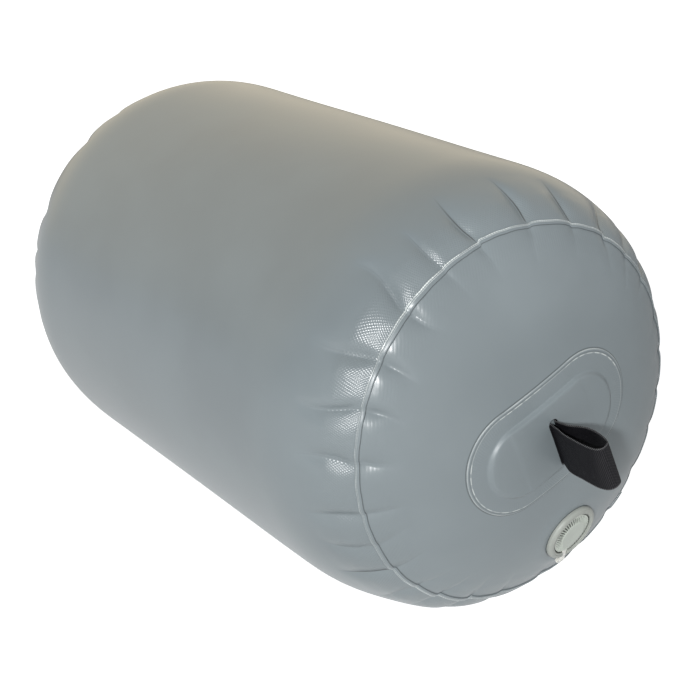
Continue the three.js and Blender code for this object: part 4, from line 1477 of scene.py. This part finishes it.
def pale_world(stage):
    """Pale surroundings: white to the camera, a level sky to the object, and in reflections a room.

    The room is lighter towards +X and has a warm, lighter side behind the fender. The sky is lighter
    towards the soft side.
    """
    world = bpy.data.worlds.new("surroundings")
    bpy.context.scene.world = world
    world.use_nodes = True
    tree = world.node_tree
    tree.nodes.clear()
    path = tree.nodes.new("ShaderNodeLightPath")
    background = tree.nodes.new("ShaderNodeBackground")
    output = tree.nodes.new("ShaderNodeOutputWorld")
    seen = calc(tree, "MAXIMUM", path.outputs["Is Camera Ray"], path.outputs["Is Transmission Ray"])
    heading = tree.nodes.new("ShaderNodeTexCoord").outputs["Generated"]
    warm = ramped(tree, vector_calc(tree, "DOT_PRODUCT", heading, WARM_SIDE), 0.2, 0.95)
    split = tree.nodes.new("ShaderNodeSeparateXYZ")
    tree.links.new(heading, split.inputs[0])
    front = ramped(tree, split.outputs[0], 0.0, 0.9)
    room = tinted(tree, (0.42, 0.45, 0.48), front, (0.9, 0.92, 0.93))
    room = tinted(tree, room, warm, (1.36, 1.2, 0.92))
    soft = ramped(tree, vector_calc(tree, "DOT_PRODUCT", heading, SOFT_SIDE), 0.3, 1.0)
    level = tinted(tree, (stage.fill,) * 3, soft, (stage.side_fill,) * 3)
    sky = tinted(tree, level, path.outputs["Is Glossy Ray"], room)
    tree.links.new(tinted(tree, sky, seen, (1, 1, 1)), background.inputs["Color"])
    tree.links.new(background.outputs[0], output.inputs[0])


def key_lamp(stage):
    """Square area lamp that looks at the target from its azimuth, from +X towards +Y, and elevation."""
    data = bpy.data.lights.new("key", "AREA")
    data.energy = stage.key_power
    data.size = KEY_SIZE
    lamp_object = bpy.data.objects.new("key", data)
    bpy.context.scene.collection.objects.link(lamp_object)
    a, e = KEY_AZIMUTH, KEY_ELEVATION
    away = Vector((math.cos(e) * math.cos(a), math.cos(e) * math.sin(a), math.sin(e)))
    lamp_object.location = Vector(KEY_TARGET) + away * KEY_DISTANCE
    lamp_object.rotation_mode = "QUATERNION"
    lamp_object.rotation_quaternion = away.to_track_quat("Z", "Y")
    lamp_object.visible_camera = False


class FENDER_OT_stage(bpy.types.Operator):
    """Make the floor, the surroundings, the lamp and the camera"""

    bl_idname = "fender.stage"
    bl_label = "Stage"

    def execute(self, context):
        stage = settings()[2]
        pale_floor(stage)
        pale_world(stage)
        key_lamp(stage)
        camera = bpy.data.objects.new("camera", bpy.data.cameras.new("camera"))
        camera.data.lens = CAMERA_LENS
        camera.data.sensor_width = 36
        camera.data.clip_start = 0.05
        camera.location = CAMERA_PLACE
        camera.rotation_mode = "QUATERNION"
        camera.rotation_quaternion = Vector(CAMERA_AIM).to_track_quat("-Z", "Y")
        context.scene.collection.objects.link(camera)
        context.scene.camera = camera
        context.scene.view_settings.view_transform = "Standard"
        return {"FINISHED"}


OPERATORS = (
    FENDER_OT_stage, FENDER_OT_body, FENDER_OT_ends, FENDER_OT_bands, FENDER_OT_covers,
    FENDER_OT_loops, FENDER_OT_valve, FENDER_OT_inner,
)


class FENDER_PT_panel(bpy.types.Panel):
    """Sizes, colours and steps of the fender"""

    bl_idname = "FENDER_PT_panel"
    bl_label = "Fender"
    bl_space_type = "VIEW_3D"
    bl_region_type = "UI"
    bl_category = "Fender"

    def draw(self, context):
        for group in settings():
            box = self.layout.box()
            for name in group.__annotations__:
                box.prop(group, name)
        for operator in OPERATORS:
            self.layout.operator(operator.bl_idname)


GROUPS = {"fender_shape": FenderShape, "fender_finish": FenderFinish, "fender_stage": FenderStage}
CLASSES = (*GROUPS.values(), *OPERATORS, FENDER_PT_panel)


def register():
    for each in CLASSES:
        bpy.utils.register_class(each)
    for name, group in GROUPS.items():
        setattr(bpy.types.Scene, name, PointerProperty(type=group))


def unregister():
    for name in GROUPS:
        delattr(bpy.types.Scene, name)
    for each in reversed(CLASSES):
        bpy.utils.unregister_class(each)


def main():
    """Registers the add-on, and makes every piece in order."""
    register()
    bpy.ops.fender.stage()
    bpy.ops.fender.body()
    bpy.ops.fender.ends()
    bpy.ops.fender.bands()
    bpy.ops.fender.covers()
    bpy.ops.fender.loops()
    bpy.ops.fender.valve()
    bpy.ops.fender.inner()


if __name__ == "__main__":
    main()
